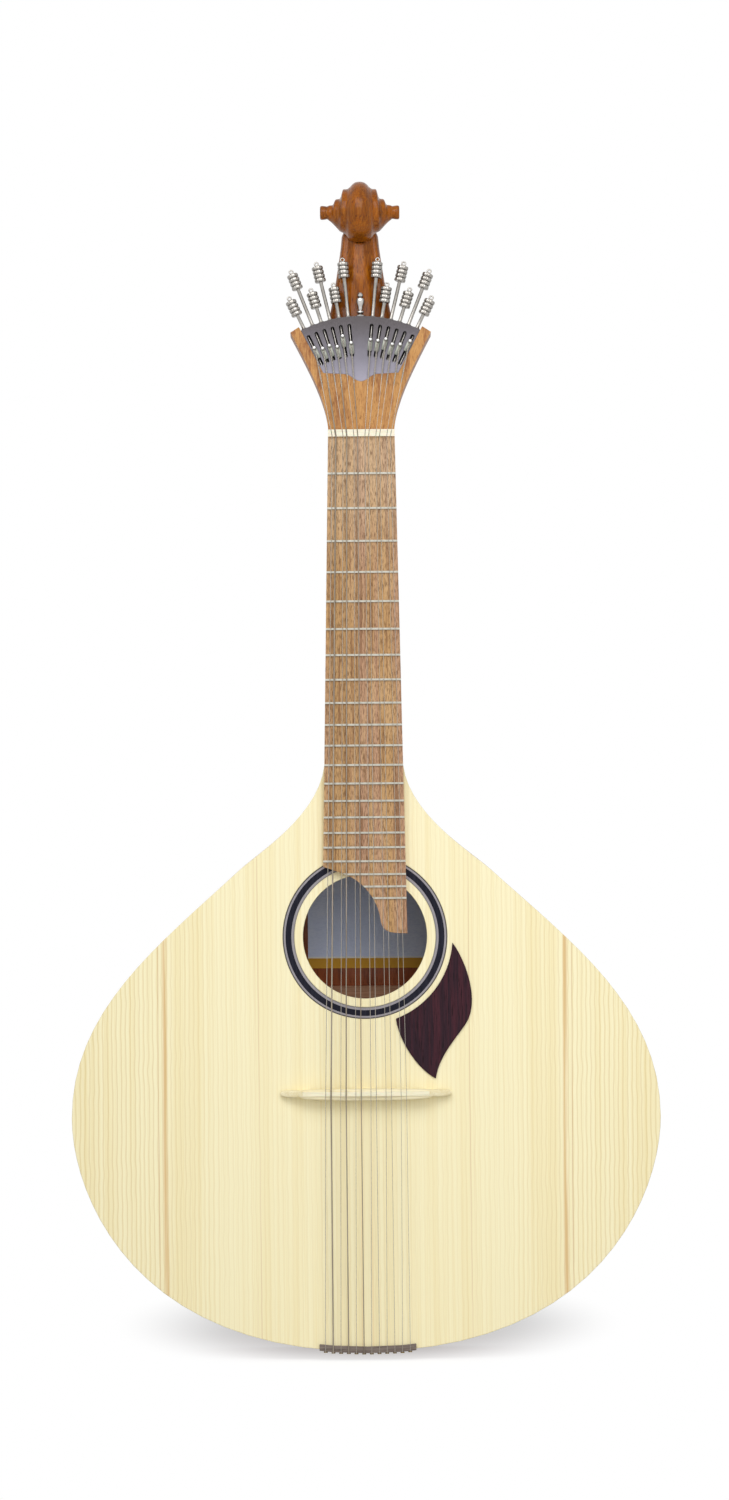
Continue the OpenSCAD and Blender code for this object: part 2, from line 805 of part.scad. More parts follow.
module plate_shape(grow = 0) {
  intersection() {
    circle(r = fan_r + (grow > 0 ? 10 : 0), $fn = 200);
    polygon(concat([[-edge_x(plate_low) - grow, plate_low - grow]],
                   [for (p = tongue) p - [0, grow]],
                   [[edge_x(plate_low) + grow, plate_low - grow],
                    [edge_x(fan_r + 10) + grow, fan_r + 10], [-edge_x(fan_r + 10) - grow, fan_r + 10]]));
  }
}

module sector(inner, outer) {
  intersection() {
    difference() {
      circle(r = outer, $fn = 200);
      circle(r = inner, $fn = 200);
    }
    polygon([[0, 0], [edge_x(fan_r + 10), fan_r + 10], [-edge_x(fan_r + 10), fan_r + 10]]);
  }
}

module machine_plate() {
  color("#8F8B96")
    difference() {
      on_head() along_y(plate_front, plate_back) plate_shape();
      for (i = [0:tuner_count - 1])
        on_tuner(i) along_y(plate_front - cut, plate_back + cut)
          rotate(90) slot_shape();
    }
}

// A slot with round ends, drawn along +X from the fan's centre
module slot_shape() {
  translate([slot_low + slot_w / 2, -slot_w / 2]) square([slot_len - slot_w, slot_w]);
  translate([slot_low + slot_w / 2, 0]) circle(d = slot_w, $fn = 32);
  translate([slot_top - slot_w / 2, 0]) circle(d = slot_w, $fn = 32);
}

spigot_r = rod_r - 0.2;
screw_r = 1.1;
screw_len = 6;
screw_at = [slot_low + 3, slot_low + 12, slot_top - 2];
finial_r = 1;

module machine_frame() {
  color("#A9A6AE")
    difference() {
      on_head() {
        along_y(plate_back, frame_floor) sector(rim_low, fan_r);
        along_y(plate_back, frame_floor) sector(foot_low, foot_top);
        along_y(frame_floor, recess_depth) sector(foot_low, fan_r);
      }
      for (i = [0:tuner_count - 1])
        on_tuner(i) translate([0, rod_y, 0]) {
          translate([0, 0, foot_low - cut]) cylinder(r = spigot_r + rod_gap, h = foot_h + 2 * cut);
          translate([0, 0, rim_low - cut]) cylinder(r = stem_r + rod_gap, h = fan_r - rim_low + 2 * cut);
        }
      on_head() {
        translate([0, rod_y, rim_low - cut]) cylinder(r = finial_r, h = fan_r - rim_low + 2 * cut);
        for (h = screw_at)
          screw_axis(h) cylinder(r = screw_r, h = far, center = true);
        for (h = screw_at)
          screw_axis(h) translate([0, 0, -frame_t]) cylinder(r1 = screw_r, r2 = screw_r + frame_t, h = frame_t);
      }
    }
}

// A screw's axis on the centre line, pointing out of the frame's floor
module screw_axis(h) {
  translate([0, frame_floor, h]) rotate([90, 0, 0]) children();
}

module frame_screws() {
  color("#B8B0A0")
    on_head()
      for (h = screw_at)
        screw_axis(h) {
          translate([0, 0, -frame_t]) cylinder(r1 = screw_r, r2 = screw_r + frame_t, h = frame_t);
          translate([0, 0, -frame_t - screw_len]) cylinder(r = screw_r - 0.02, h = screw_len);
        }
}

// The turned finial stands on the plate's top edge
module finial() {
  f = finial_h / 17;
  color("#C9C7CC")
    on_head() translate([0, rod_y, fan_r])
      rotate_extrude($fn = 48)
        polygon([[0, -2.5], [finial_r - 0.03, -2.5], [finial_r - 0.03, 0], [2.9, 0], [3, 1 * f],
                 [2.2, 1.8 * f], [1.4, 2.4 * f], [2.3, 3.1 * f], [2.3, 3.8 * f], [1.3, 5 * f],
                 [1.5, 7 * f], [2.3, 9 * f], [2.8, 11 * f], [2.5, 12.6 * f], [1.3, 13.6 * f],
                 [1.9, 14.4 * f], [2, 15.4 * f], [1.3, 16.6 * f], [0, 17 * f]]);
}

// A tuner's collars: one inside the rim and one on the plate's top edge
collar_r = 1.6;
collar_h = 0.7;
seat_r = 1.9;
seat_h = 1;
play = 0.2;
edge = 0.3;
groove_deep = 0.8;
knob_bands = 4;
knob_h = knob_bands * band_h + (knob_bands - 1) * groove_h;
cap_r = 1.2;
cap_h = 0.5;
function knob_low(i) = fan_r + (is_long(i) ? long_reach : short_reach) - knob_h / 2;

// Half profile of a tuner from its lower end to its top, as radius and height
function tuner_profile(i) = let (z = knob_low(i)) concat(
  [[0, foot_low + edge], [spigot_r, foot_low + edge], [spigot_r, foot_top + play], [rod_r, foot_top + play],
   [rod_r, rim_low - play - collar_h], [collar_r, rim_low - play - collar_h], [collar_r, rim_low - play],
   [stem_r, rim_low - play], [stem_r, fan_r + play], [seat_r, fan_r + play], [seat_r, fan_r + play + seat_h],
   [stem_r, fan_r + play + seat_h], [stem_r, z]],
  [for (k = [0:knob_bands - 1]) let (b = z + k * (band_h + groove_h)) each concat(
    [[knob_r - edge, b], [knob_r, b + edge], [knob_r, b + band_h - edge], [knob_r - edge, b + band_h]],
    k < knob_bands - 1 ? [[knob_r - groove_deep, b + band_h], [knob_r - groove_deep, b + band_h + groove_h]] : [])],
  [[cap_r + cap_h, z + knob_h], [cap_r, z + knob_h + cap_h], [0, z + knob_h + cap_h]]);

eye_r = 1.2;
eye_wire = 0.5;

module tuner(i) {
  color("#B9B6BC")
    on_tuner(i) translate([0, rod_y, 0]) {
      rotate_extrude($fn = 48) polygon(tuner_profile(i));
      translate([0, 0, knob_low(i) + knob_h + cap_h + eye_r + eye_wire * 0.6])
        rotate([90, 0, 0])
          rotate_extrude($fn = 32)
            translate([eye_r, 0]) circle(r = eye_wire, $fn = 20);
    }
}

// A hook: a threaded block on the rod, a neck through the slot, a slider and a round head
block_half = 3.5;
block_w = 3;
block_gap = 0.3;
slot_play = 0.15;
neck_half = 2.7;
slider_up = 1;
slider_down = 7.5;
slider_t = 1;
slider_w = 3.1;
slider_front = plate_front - block_gap - slider_t;
head_out = 1.3;
post_r = 0.75;
function ball_at(i) = slot_top - hook_drop[i];
function block_at(i) = ball_at(i) - (slider_down - slider_up) / 2;

module hook(i) {
  c = block_at(i);
  color("#C4C2C6")
    on_tuner(i) {
      difference() {
        union() {
          slab([-block_w / 2, block_w / 2], [plate_back + block_gap, frame_floor - block_gap],
               [c - block_half, c + block_half]);
          slab([-slot_w / 2 + slot_play, slot_w / 2 - slot_play], [slider_front + slider_t / 2, plate_back + 1],
               [c - neck_half, c + neck_half]);
          slab([-slider_w / 2, slider_w / 2], [slider_front, slider_front + slider_t],
               [ball_at(i) - slider_down, ball_at(i) + slider_up]);
        }
        translate([0, rod_y, c - 2 * block_half]) cylinder(r = rod_r + rod_gap, h = 4 * block_half);
      }
      translate([0, slider_front + 0.2, ball_at(i)])
        rotate([90, 0, 0]) cylinder(r = post_r, h = head_out, $fn = 24);
      translate([0, slider_front - head_out, ball_at(i)]) sphere(r = ball_r, $fn = 32);
    }
}

// The string ends just under the hook's round head
loop_gap = 0.3;
function hook_end(i) = let (a = fan_angle(i), r = ball_at(i) - ball_r - loop_gap)
  from_head([r * sin(a), slider_front - string_r(i) - loop_gap / 2, r * cos(a)]);

// The head's wood: a fan that widens from the neck, square at its two top corners
wing_out = [47.2, 77];
wing_in = [41.6, 80.7];
head_low = neck_top - fan_z;
head_half = board_half(0) - 0.4;
head_side = curve([head_half, head_low - 4], [head_half + 0.2, head_low + 16], [29, 42], wing_out, 14);
head_shape = concat(
  head_side, [wing_out, wing_in],
  [for (k = [-12:12]) let (a = -k * (edge_turn - 0.2) / 12) (fan_r - 0.1) * [sin(a), cos(a)]],
  mirrored(concat(head_side, [wing_out, wing_in])));

module headstock() {
  depth_low = neck_depth - head_y * 0.6;
  color("#C98F4E")
    difference() {
      union() {
        intersection() {
          on_head() intersection() {
            along_y(0, depth_low + 10) polygon(head_shape);
            rotate([90, 0, 90])
              linear_extrude(120, center = true)
                polygon(concat([[0, 0], [0, fan_r + 5], [head_t, fan_r + 5]],
                               curve([head_t, 50], [head_t, 36], [depth_low, 26], [depth_low, 0], 8),
                               [[depth_low, 0]]));
            translate([0, -6, 0]) cylinder(r1 = 20, r2 = 66, h = 95, $fn = 96);
          }
          slab([-60, 60], [-40, 60], [neck_top, neck_top + 200]);
        }
        on_head() loft([for (k = [0:swan_steps]) swan_row(swan_low + k * (neck_cut - swan_low) / swan_steps)]);
      }
      on_head() {
        along_y(-10, plate_back) plate_shape(0.1);
        along_y(-10, recess_depth) sector(foot_low - 0.15, fan_r + 40);
        for (h = screw_at)
          screw_axis(h) translate([0, 0, -frame_t - screw_len - 0.5]) cylinder(r = screw_r, h = screw_len + 2);
      }
    }
}

// The swan neck rises behind the tuners and carries the scroll
neck_cut = scroll_h - scroll_r - 1.2;
swan_low = 56;
swan_steps = 20;
swan_y = 9.6;
function swan_half(h) = lookup(h, [[56, 23], [70, 22.6], [88, 21.3], [100, 19], [113, 16.6],
                                   [130, 14], [neck_cut, 12.6], [scroll_h, scroll_band / 2]]);
function swan_back(h) = lookup(h, [[56, 15], [70, 17.6], [88, 21.2], [113, 24.4], [130, 25.6],
                                   [neck_cut, 25.8], [scroll_h, scroll_y + scroll_r]]);
scroll_y = 4.9;

function swan_row(h, n = 24) = let (f = swan_y, b = swan_back(h), w = swan_half(h))
  [for (k = [0:n - 1]) let (a = 360 * (k + 0.5) / n)
    [w * signed(cos(a), 0.7), (f + b) / 2 + (b - f) / 2 * signed(sin(a), 0.7), h]];

// The scroll's steps as half width and radius
scroll_steps = [[0, scroll_r], [scroll_band / 2 - 1.6, scroll_r - 0.35], [scroll_band / 2, scroll_r - 1.6],
                [scroll_band / 2 + 1.4, scroll_r - 4.6], [9.6, scroll_r - 4.1], [10.8, scroll_r - 4.7],
                [11.6, scroll_r - 7.6], [13, scroll_r - 10.3], [14.6, scroll_r - 11.4],
                [15.6, scroll_r - 11.4], [17.4, scroll_r - 14.6], [19.4, scroll_r - 15.8],
                [scroll_w / 2 - 1.2, scroll_r - 16], [scroll_w / 2, scroll_r - 17.2]];
scroll_profile = concat([[0, -scroll_w / 2]],
  [for (k = [len(scroll_steps) - 1:-1:0]) [scroll_steps[k][1], -scroll_steps[k][0]]],
  [for (k = [1:len(scroll_steps) - 1]) [scroll_steps[k][1], scroll_steps[k][0]]],
  [[0, scroll_w / 2]]);

module scroll() {
  color("#A8621E")
    on_head() {
      translate([0, scroll_y, scroll_h])
        rotate([0, 90, 0])
          rotate_extrude($fn = 96) polygon(scroll_profile);
      intersection() {
        loft([for (k = [0:6]) swan_row(neck_cut + k * (scroll_h - neck_cut) / 6)]);
        slab([-far, far], [scroll_y, far], [0, far]);
      }
    }
}

module place() {
  translate([0, 0, -hang_z]) children();
}

place() soundboard();
place() back_plate();
place() rib(-1);  // rib_left
place() rib(1);  // rib_right
place() top_lining();
place() back_lining();
place() top_braces();
place() back_braces();
place() neck_block();
place() tail_block();
place() paper_label();
place() rosette_band();
place() rosette_lines();
place() pickguard();
place() neck();
place() fingerboard();
place() frets();
place() nut();
place() bridge();
place() saddle();
place() tail_saddle();
place() tail_pins();
place() headstock();
place() scroll();
place() machine_plate();
place() machine_frame();
place() frame_screws();
place() finial();
for (i = [0:tuner_count - 1]) {
  place() tuner(i);
  place() hook(i);
}
for (c = [0:5])
  place() course(c);
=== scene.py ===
import math

import bmesh
import bpy
from bpy.props import FloatProperty, FloatVectorProperty, IntProperty, PointerProperty
from bpy.types import Operator, Panel, PropertyGroup
from mathutils import Matrix, Vector


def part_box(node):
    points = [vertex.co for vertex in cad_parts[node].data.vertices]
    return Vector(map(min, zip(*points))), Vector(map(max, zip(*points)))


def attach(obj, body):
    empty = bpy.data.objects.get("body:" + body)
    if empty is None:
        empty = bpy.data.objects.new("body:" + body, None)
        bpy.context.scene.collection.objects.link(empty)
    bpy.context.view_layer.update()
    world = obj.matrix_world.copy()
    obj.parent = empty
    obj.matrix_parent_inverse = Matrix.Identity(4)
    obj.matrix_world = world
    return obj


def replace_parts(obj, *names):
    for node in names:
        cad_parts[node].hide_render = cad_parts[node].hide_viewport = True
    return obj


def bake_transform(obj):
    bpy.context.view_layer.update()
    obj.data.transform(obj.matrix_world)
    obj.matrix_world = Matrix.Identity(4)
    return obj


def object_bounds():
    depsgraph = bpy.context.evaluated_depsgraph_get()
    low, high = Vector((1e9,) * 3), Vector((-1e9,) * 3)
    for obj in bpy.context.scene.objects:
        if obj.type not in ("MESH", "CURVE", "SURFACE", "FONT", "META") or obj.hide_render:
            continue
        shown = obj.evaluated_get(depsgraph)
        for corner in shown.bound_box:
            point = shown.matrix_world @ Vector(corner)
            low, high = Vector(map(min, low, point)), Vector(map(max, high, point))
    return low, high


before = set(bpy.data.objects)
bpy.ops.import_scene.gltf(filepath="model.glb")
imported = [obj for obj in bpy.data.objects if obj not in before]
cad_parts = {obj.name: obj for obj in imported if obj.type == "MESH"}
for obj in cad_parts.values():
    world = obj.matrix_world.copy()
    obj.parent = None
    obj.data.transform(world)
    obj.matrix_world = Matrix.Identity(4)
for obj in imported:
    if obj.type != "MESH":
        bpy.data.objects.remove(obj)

bl_info = {
    "name": "Portuguese guitar finish",
    "version": (1, 0, 0),
    "blender": (4, 5, 0),
    "location": "3D Viewport > Sidebar > Guitar",
    "description": "Dresses a packed portuguese guitar in its woods, metals, strings and carving",
    "category": "Object",
}

CAD_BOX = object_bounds()
MM = 0.001
TAU = 2 * math.pi

# The head's own frame in millimetres: y is the depth behind its face, h the height
# along it from the fan's centre. The origin of the guitar's frame is the hanging yoke.
HANG_Z = 637.9
FAN_Z = 607.9
HEAD_Y = -4.0
TILT = math.radians(8)

# The strings and what carries them, in millimetres from the tail
NUT_Z = 613.4
SADDLE_Z = 173.4
SADDLE_T = 3.0
BOARD_T = 7.0
NUT_RISE = 2.1
CAMBER_R = 220.0
STRING_H = 13.5
BASS_R = 0.5
TREBLE_R = 0.16
STRING_SHARES = (0.15, 1, 0.1, 0.75, 0.05, 0.5, 0.12, 0.12, 0.05, 0.05, 0, 0)
WOUND = (1, 3, 5)
NUT_SPACING = (7.3, 2.5)
SADDLE_SPACING = (10.1, 3.6)
TAIL_PITCH = 5.16
TAIL_PROUD = 2.2
TAIL_FACE = 3.4
TAIL_LIP = 1.0
TAIL_LIP_D = 5.0
PIN_Y = 10.0
PIN_R = 0.9
REST = 0.04

# The tuning machine, in millimetres from the fan's centre
FAN_R = 88.0
FAN_FIRST = 5.3
FAN_STEP = 4.0
ROD_Y = 4.0
ROD_R = 1.0
STEM_R = 1.2
FOOT_LOW = 56.5
FOOT_TOP = 59.9
RIM_LOW = 84.5
SLOT_TOP = 83.0
SLOT_W = 2.5
PLATE_FRONT = -0.2
PLATE_BACK = 1.0
FRAME_FLOOR = 7.0
SHORT_REACH = 16.5
LONG_REACH = 32.8
KNOB_R = 3.8
KNOB_BANDS = 4
BAND_H = 2.1
GROOVE_H = 0.7
KNOB_H = KNOB_BANDS * BAND_H + (KNOB_BANDS - 1) * GROOVE_H
HOOK_DROPS = (10.1, 12.7, 12.4, 14.5, 8.1, 13.5, 11.3, 11.4, 9.4, 11.7, 10.1, 5.4)
BALL_R = 1.35
SLIDER_FRONT = -1.5
HEAD_OUT = 1.3

# Inner radius of the rosette and place of the label's left end, in millimetres
ROSETTE_R = 47.5
LABEL_END = -39.0

# The scroll's axis in the head's frame, and its overall sizes
SCROLL_Y = 4.9
SCROLL_H = 160.2
SCROLL_HALF = 26.8


def linear(code):
    """Turn an sRGB hex colour into Blender's linear RGBA."""
    parts = [int(code[k:k + 2], 16) / 255 for k in (1, 3, 5)]
    return tuple(c / 12.92 if c <= 0.04045 else ((c + 0.055) / 1.055) ** 2.4 for c in parts) + (1.0,)


def colour(label, text, code):
    """A colour property whose default is an sRGB hex value."""
    return FloatVectorProperty(name=label, description=text, subtype="COLOR", size=4,
                               min=0.0, max=1.0, default=linear(code))


def length(label, text, mm):
    """A length property whose default is given in millimetres."""
    return FloatProperty(name=label, description=text, unit="LENGTH", min=0.0, precision=5, default=mm * MM)


class GuitarWoods(PropertyGroup):
    """Main colours of the woods."""
    spruce: colour("Soundboard", "Fresh varnished spruce", "#FCF3CB")
    ribs: colour("Ribs and back", "Varnished rosewood of the body", "#914B29")
    board: colour("Fingerboard", "Oiled walnut", "#C29865")
    head: colour("Head", "Satin mahogany of the head and its wings", "#C08A4C")
    scroll: colour("Scroll", "Glossy stained mahogany of the scroll", "#9A5206")
    guard: colour("Pickguard", "Dark rosewood leaf", "#2F1D26")
    bridge: colour("Bridge", "Pale maple", "#F1E6BF")
    tail: colour("Tail saddle", "Grey-brown hardwood", "#7D716A")


class GuitarMetals(PropertyGroup):
    """Main colours of the metals and strings."""
    plate: colour("Plate", "Nickel plate of the tuning machine", "#706D76")
    nickel: colour("Knobs", "Bright nickel of tuners and hooks", "#B4B0AA")
    steel: colour("Plain strings", "Drawn steel wire", "#B2ACA2")
    bronze: colour("Wound strings", "Silvered winding wire", "#968C7F")


class GuitarStrings(PropertyGroup):
    """Sizes of the strings' looped ends."""
    twist: length("Twist length", "Length of the twisted pair below each hook", 27)
    pitch: length("Twist pitch", "Length of one full turn of the twisted pair", 3.9)
    strand: length("Strand radius", "Radius of one strand of the twisted pair", 0.25)
    sides: IntProperty(name="Sides", description="Corners of a string's round section", min=6, max=24, default=10)


class GuitarMachine(PropertyGroup):
    """Sizes of the tuners' fine detail."""
    thread: length("Thread pitch", "Advance of a hook for one turn of its knob", 0.7)
    thread_depth: length("Thread depth", "Depth of the thread cut into a rod", 0.06)
    tooth_depth: length("Knurl depth", "Depth of the beads cut into a knob's bands", 0.3)
    teeth: IntProperty(name="Beads", description="Beads round one band of a knob", min=8, max=40, default=13)


class GuitarStage(PropertyGroup):
    """Light and camera of the studio."""
    ambient: FloatProperty(name="Ambient", description="Strength of the white studio's soft light",
                           min=0.0, max=2.0, default=0.3)
    key: FloatProperty(name="Key light", description="Power of the large lamp above the camera",
                       unit="POWER", min=0.0, max=500.0, default=22.5)
    fill: FloatProperty(name="Fill light", description="Power of the lamp that looks into the soundhole",
                        unit="POWER", min=0.0, max=500.0, default=3.6)
    distance: length("Camera distance", "Distance of the camera from the soundboard's plane", 4000)
    floor_gap: length("Floor gap", "Distance of the floor below the tail pins", 3)


# Shading

def add(tree, kind, links=None, **settings):
    """Add one shader node: settings are its properties, links its sockets' values or sources."""
    made = tree.nodes.new("ShaderNode" + kind)
    for key, value in settings.items():
        setattr(made, key, value)
    for key, value in (links or {}).items():
        if isinstance(value, bpy.types.NodeSocket):
            tree.links.new(value, made.inputs[key])
        else:
            made.inputs[key].default_value = value
    return made


def seen_ray(tree):
    """1 for the rays that the camera, a reflection or glass sends, and 0 for light on the object."""
    path = add(tree, "LightPath")
    seen = add(tree, "Math", {0: path.outputs["Is Camera Ray"], 1: path.outputs["Is Glossy Ray"]},
               operation="MAXIMUM").outputs[0]
    return add(tree, "Math", {0: seen, 1: path.outputs["Is Transmission Ray"]}, operation="MAXIMUM").outputs[0]


def fresh(name):
    """A new material's empty node tree, with the material."""
    material = bpy.data.materials.new(name)
    material.use_nodes = True
    material.node_tree.nodes.clear()
    return material, material.node_tree


def grain(tree, across, along, low=0.4, high=0.6, amount=1.0, axis=2, seed=0.0, detail=3.0, point=None):
    """Noise drawn out along an axis as a mask from 0 to amount; across and along are in mm."""
    scale = [1 / (across * MM)] * 3
    scale[axis] = 1 / (along * MM)
    point = point or add(tree, "TexCoord").outputs["Object"]
    moved = add(tree, "Mapping", {"Vector": point, "Location": (seed, 1.7 * seed, 2.3 * seed), "Scale": scale})
    cloud = add(tree, "TexNoise", {"Vector": moved.outputs[0], "Scale": 1.0, "Detail": detail,
                                   "Roughness": 0.55})
    return add(tree, "MapRange", {"Value": cloud.outputs["Fac"], "From Min": low, "From Max": high,
                                  "To Max": amount}, interpolation_type="SMOOTHSTEP").outputs[0]


def layered(tree, base, *coats):
    """Lay colours over a base, each through its own mask."""
    top = base
    for mask, tone in coats:
        tone = linear(tone) if isinstance(tone, str) else tone
        top = add(tree, "Mix", {0: mask, 6: top, 7: tone}, data_type="RGBA").outputs[2]
    return top


def close(tree, surface, height=None, depth=0.03, strength=0.6):
    """End a material in a principled shader, with an optional relief of depth mm."""
    if height is not None:
        surface["Normal"] = add(tree, "Bump", {"Height": height, "Strength": strength,
                                               "Distance": depth * MM}).outputs[0]
    shader = add(tree, "BsdfPrincipled", surface)
    add(tree, "OutputMaterial", {"Surface": shader.outputs[0]})


def timber(name, base, streaks, pores, width, run, roughness, coat=0.0, seed=0.0, axis=2, pore=0.35, pore_amount=0.6,
           relief=0.02, bent=False, stain=None, gloss=0.3):
    """Wood cut along its grain: broad streaks width x run mm, fine streaks and open pores.

    Bent wood keeps its streaks in planes across the y axis. A stain is a direction, the distances
    along it in metres where it sets in and is full, and its colour.
    """
    material, tree = fresh(name)

    def figure(across, along, *rest):
        return grain(tree, along, across, *rest[:3], 1, *rest[3:]) if bent else \
            grain(tree, across, along, *rest[:3], axis, *rest[3:])

    broad = figure(width, run, 0.42, 0.6, 0.75, seed)
    fine = figure(width / 5, run / 2, 0.45, 0.62, 0.5, seed + 3, 4.0)
    open_pores = figure(pore, pore * 22, 0.56, 0.66, pore_amount, seed + 7, 2.0)
    tone = layered(tree, tuple(base), (broad, streaks[0]), (fine, streaks[1]))
    if stain:
        direction, sets_in, full, tint = stain
        along = add(tree, "VectorMath", {0: add(tree, "TexCoord").outputs["Object"], 1: direction},
                    operation="DOT_PRODUCT").outputs["Value"]
        depth = add(tree, "MapRange", {"Value": along, "From Min": sets_in, "From Max": full, "To Max": 0.82},
                    interpolation_type="SMOOTHSTEP").outputs[0]
        tone = layered(tree, tone, (depth, tint))
    tone = layered(tree, tone, (open_pores, pores))
    rough = add(tree, "MapRange", {"Value": open_pores, "To Min": roughness, "To Max": roughness + 0.2}).outputs[0]
    close(tree, {"Base Color": tone, "Roughness": rough, "IOR": 1.5, "Coat Weight": coat, "Coat Roughness": 0.12,
                 "Specular IOR Level": gloss},
          add(tree, "Math", {0: 1.0, 1: open_pores}, operation="SUBTRACT").outputs[0], relief)
    return material


def spruce_top(base):
    """Varnished spruce, bookmatched: fine straight rings mirrored at the seam, a few warm streaks."""
    material, tree = fresh("spruce_satin_varnish")
    parts = add(tree, "SeparateXYZ", {0: add(tree, "TexCoord").outputs["Object"]})
    mirrored = add(tree, "Math", {0: parts.outputs["X"]}, operation="ABSOLUTE").outputs[0]
    drift = grain(tree, 90, 700, 0.2, 0.8, 0.0035, seed=5, detail=1.0)
    across = add(tree, "Math", {0: mirrored, 1: drift}, operation="ADD").outputs[0]
    leaf = add(tree, "CombineXYZ", {"X": across, "Y": parts.outputs["Y"], "Z": parts.outputs["Z"]}).outputs[0]
    # rings of about 1.5 mm would blur at this size, so every second one is drawn
    rings = add(tree, "TexWave", {"Vector": leaf, "Scale": 0.31416 / (3.1 * MM), "Distortion": 2.4,
                                  "Detail": 1.0, "Detail Scale": 0.5}, bands_direction="X",
                wave_profile="SIN").outputs["Fac"]
    line = add(tree, "MapRange", {"Value": rings, "From Min": 0.66, "From Max": 1.0, "To Max": 0.42}).outputs[0]
    outer = add(tree, "MapRange", {"Value": mirrored, "From Min": 0.085, "From Max": 0.165, "To Min": 0.35,
                                   "To Max": 1.0}, interpolation_type="SMOOTHSTEP").outputs[0]
    ring_mask = add(tree, "Math", {0: line, 1: outer}, operation="MULTIPLY").outputs[0]
    broad = grain(tree, 9, 900, 0.45, 0.68, 0.5, seed=11, detail=3.0, point=leaf)
    fine = grain(tree, 1.1, 500, 0.45, 0.7, 0.34, seed=17, detail=2.0, point=leaf)
    tone = layered(tree, tuple(base), (broad, "#F5E6B4"), (fine, "#EDDA9E"), (ring_mask, "#D9BF7C"))
    # streaks that the tree grew at known distances from the seam: place, half width, strength, colour
    for place, half, amount, code in ((0.1342, 0.0026, 0.8, "#D8AE70"), (0.1388, 0.0006, 0.6, "#C4935A"),
                                      (0.0712, 0.0005, 0.42, "#C99A6B"), (0.0735, 0.0004, 0.3, "#D3A876"),
                                      (0.0, 0.0004, 0.3, "#D9BE8A"), (0.0042, 0.0013, 0.28, "#E6B877")):
        away = add(tree, "Math", {0: across, 1: place + 0.0017}, operation="SUBTRACT").outputs[0]
        away = add(tree, "Math", {0: away}, operation="ABSOLUTE").outputs[0]
        band = add(tree, "MapRange", {"Value": away, "From Min": 0.0, "From Max": half, "To Min": amount,
                                      "To Max": 0.0}, interpolation_type="SMOOTHSTEP").outputs[0]
        broken = add(tree, "Math", {0: band, 1: grain(tree, 2.5, 160, 0.3, 0.6, seed=place * 100)},
                     operation="MULTIPLY").outputs[0]
        tone = layered(tree, tone, (broken, code))
    close(tree, {"Base Color": tone, "Roughness": 0.45, "IOR": 1.5, "Specular IOR Level": 0.3}, rings, 0.012, 0.5)
    return material


def walnut_board(base):
    """Oiled walnut: pinkish and tan bands with dark open pores along it, paler near the nut."""
    material, tree = fresh("walnut_oiled")
    height = add(tree, "SeparateXYZ", {0: add(tree, "TexCoord").outputs["Object"]}).outputs["Z"]
    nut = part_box("nut")[0].z
    # the board is paler over its last 100 mm below the nut
    paler_near_nut = add(tree, "MapRange", {"Value": height, "From Min": nut - 0.1, "From Max": nut - 0.02, "To Max": 0.4},
                 interpolation_type="SMOOTHSTEP").outputs[0]
    pink = grain(tree, 7, 260, 0.46, 0.62, 0.6, seed=2)
    pale = grain(tree, 2.6, 50, 0.48, 0.64, 0.6, seed=9)
    dark = grain(tree, 1.6, 70, 0.5, 0.64, 0.7, seed=15)
    pores = grain(tree, 0.5, 4, 0.48, 0.62, 0.7, seed=21, detail=3.0)
    tone = layered(tree, tuple(base), (pink, "#BC9380"), (pale, "#D2AC7E"), (dark, "#855D3E"),
                   (paler_near_nut, "#E2C6A4"), (pores, "#6B4A2E"))
    close(tree, {"Base Color": tone, "Roughness": 0.5, "IOR": 1.5, "Specular IOR Level": 0.3},
          add(tree, "Math", {0: 1.0, 1: pores}, operation="SUBTRACT").outputs[0], 0.05)
    return material


def purfling():
    """Dyed maple lines of the rosette, pale grey with a fine dark veneer on the sides to the spruce."""
    material, tree = fresh("rosette_dyed_maple")
    low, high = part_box("rosette_lines")
    middle, outer = (low + high) / 2, (high.x - low.x) / 2
    flat = add(tree, "Mapping", {"Vector": add(tree, "TexCoord").outputs["Object"],
                                 "Location": (-middle.x, 0.0, -middle.z), "Scale": (1.0, 0.0, 1.0)})
    away = add(tree, "VectorMath", {0: flat.outputs[0]}, operation="LENGTH").outputs["Value"]
    rim = add(tree, "MapRange", {"Value": away, "From Min": outer - 0.75 * MM, "From Max": outer - 0.6 * MM}).outputs[0]
    inner = add(tree, "MapRange", {"Value": away, "From Min": ROSETTE_R * MM + 0.0006,
                                   "From Max": ROSETTE_R * MM + 0.0004, "To Max": 0.6}).outputs[0]
    fibres = grain(tree, 0.6, 8, 0.4, 0.65, 0.6, seed=53)
    tone = layered(tree, linear("#A09BA0"), (fibres, "#8A868B"), (rim, "#4E4A46"), (inner, "#6B6A62"))
    close(tree, {"Base Color": tone, "Roughness": 0.4, "IOR": 1.5, "Specular IOR Level": 0.1}, fibres, 0.01)
    return material


def corner_shade(tree, reach, tone, dark):
    """Painted shade in the corners of a metal piece, darkest within reach mm of another face."""
    # painted shade: corners that ambient occlusion finds are mixed towards the dark colour
    shade = add(tree, "AmbientOcclusion", {"Distance": reach * MM}, samples=6).outputs["AO"]
    mask = add(tree, "MapRange", {"Value": shade, "From Min": 0.35, "From Max": 0.95, "To Min": 0.9, "To Max": 0.0})
    return layered(tree, tone, (mask.outputs[0], dark))


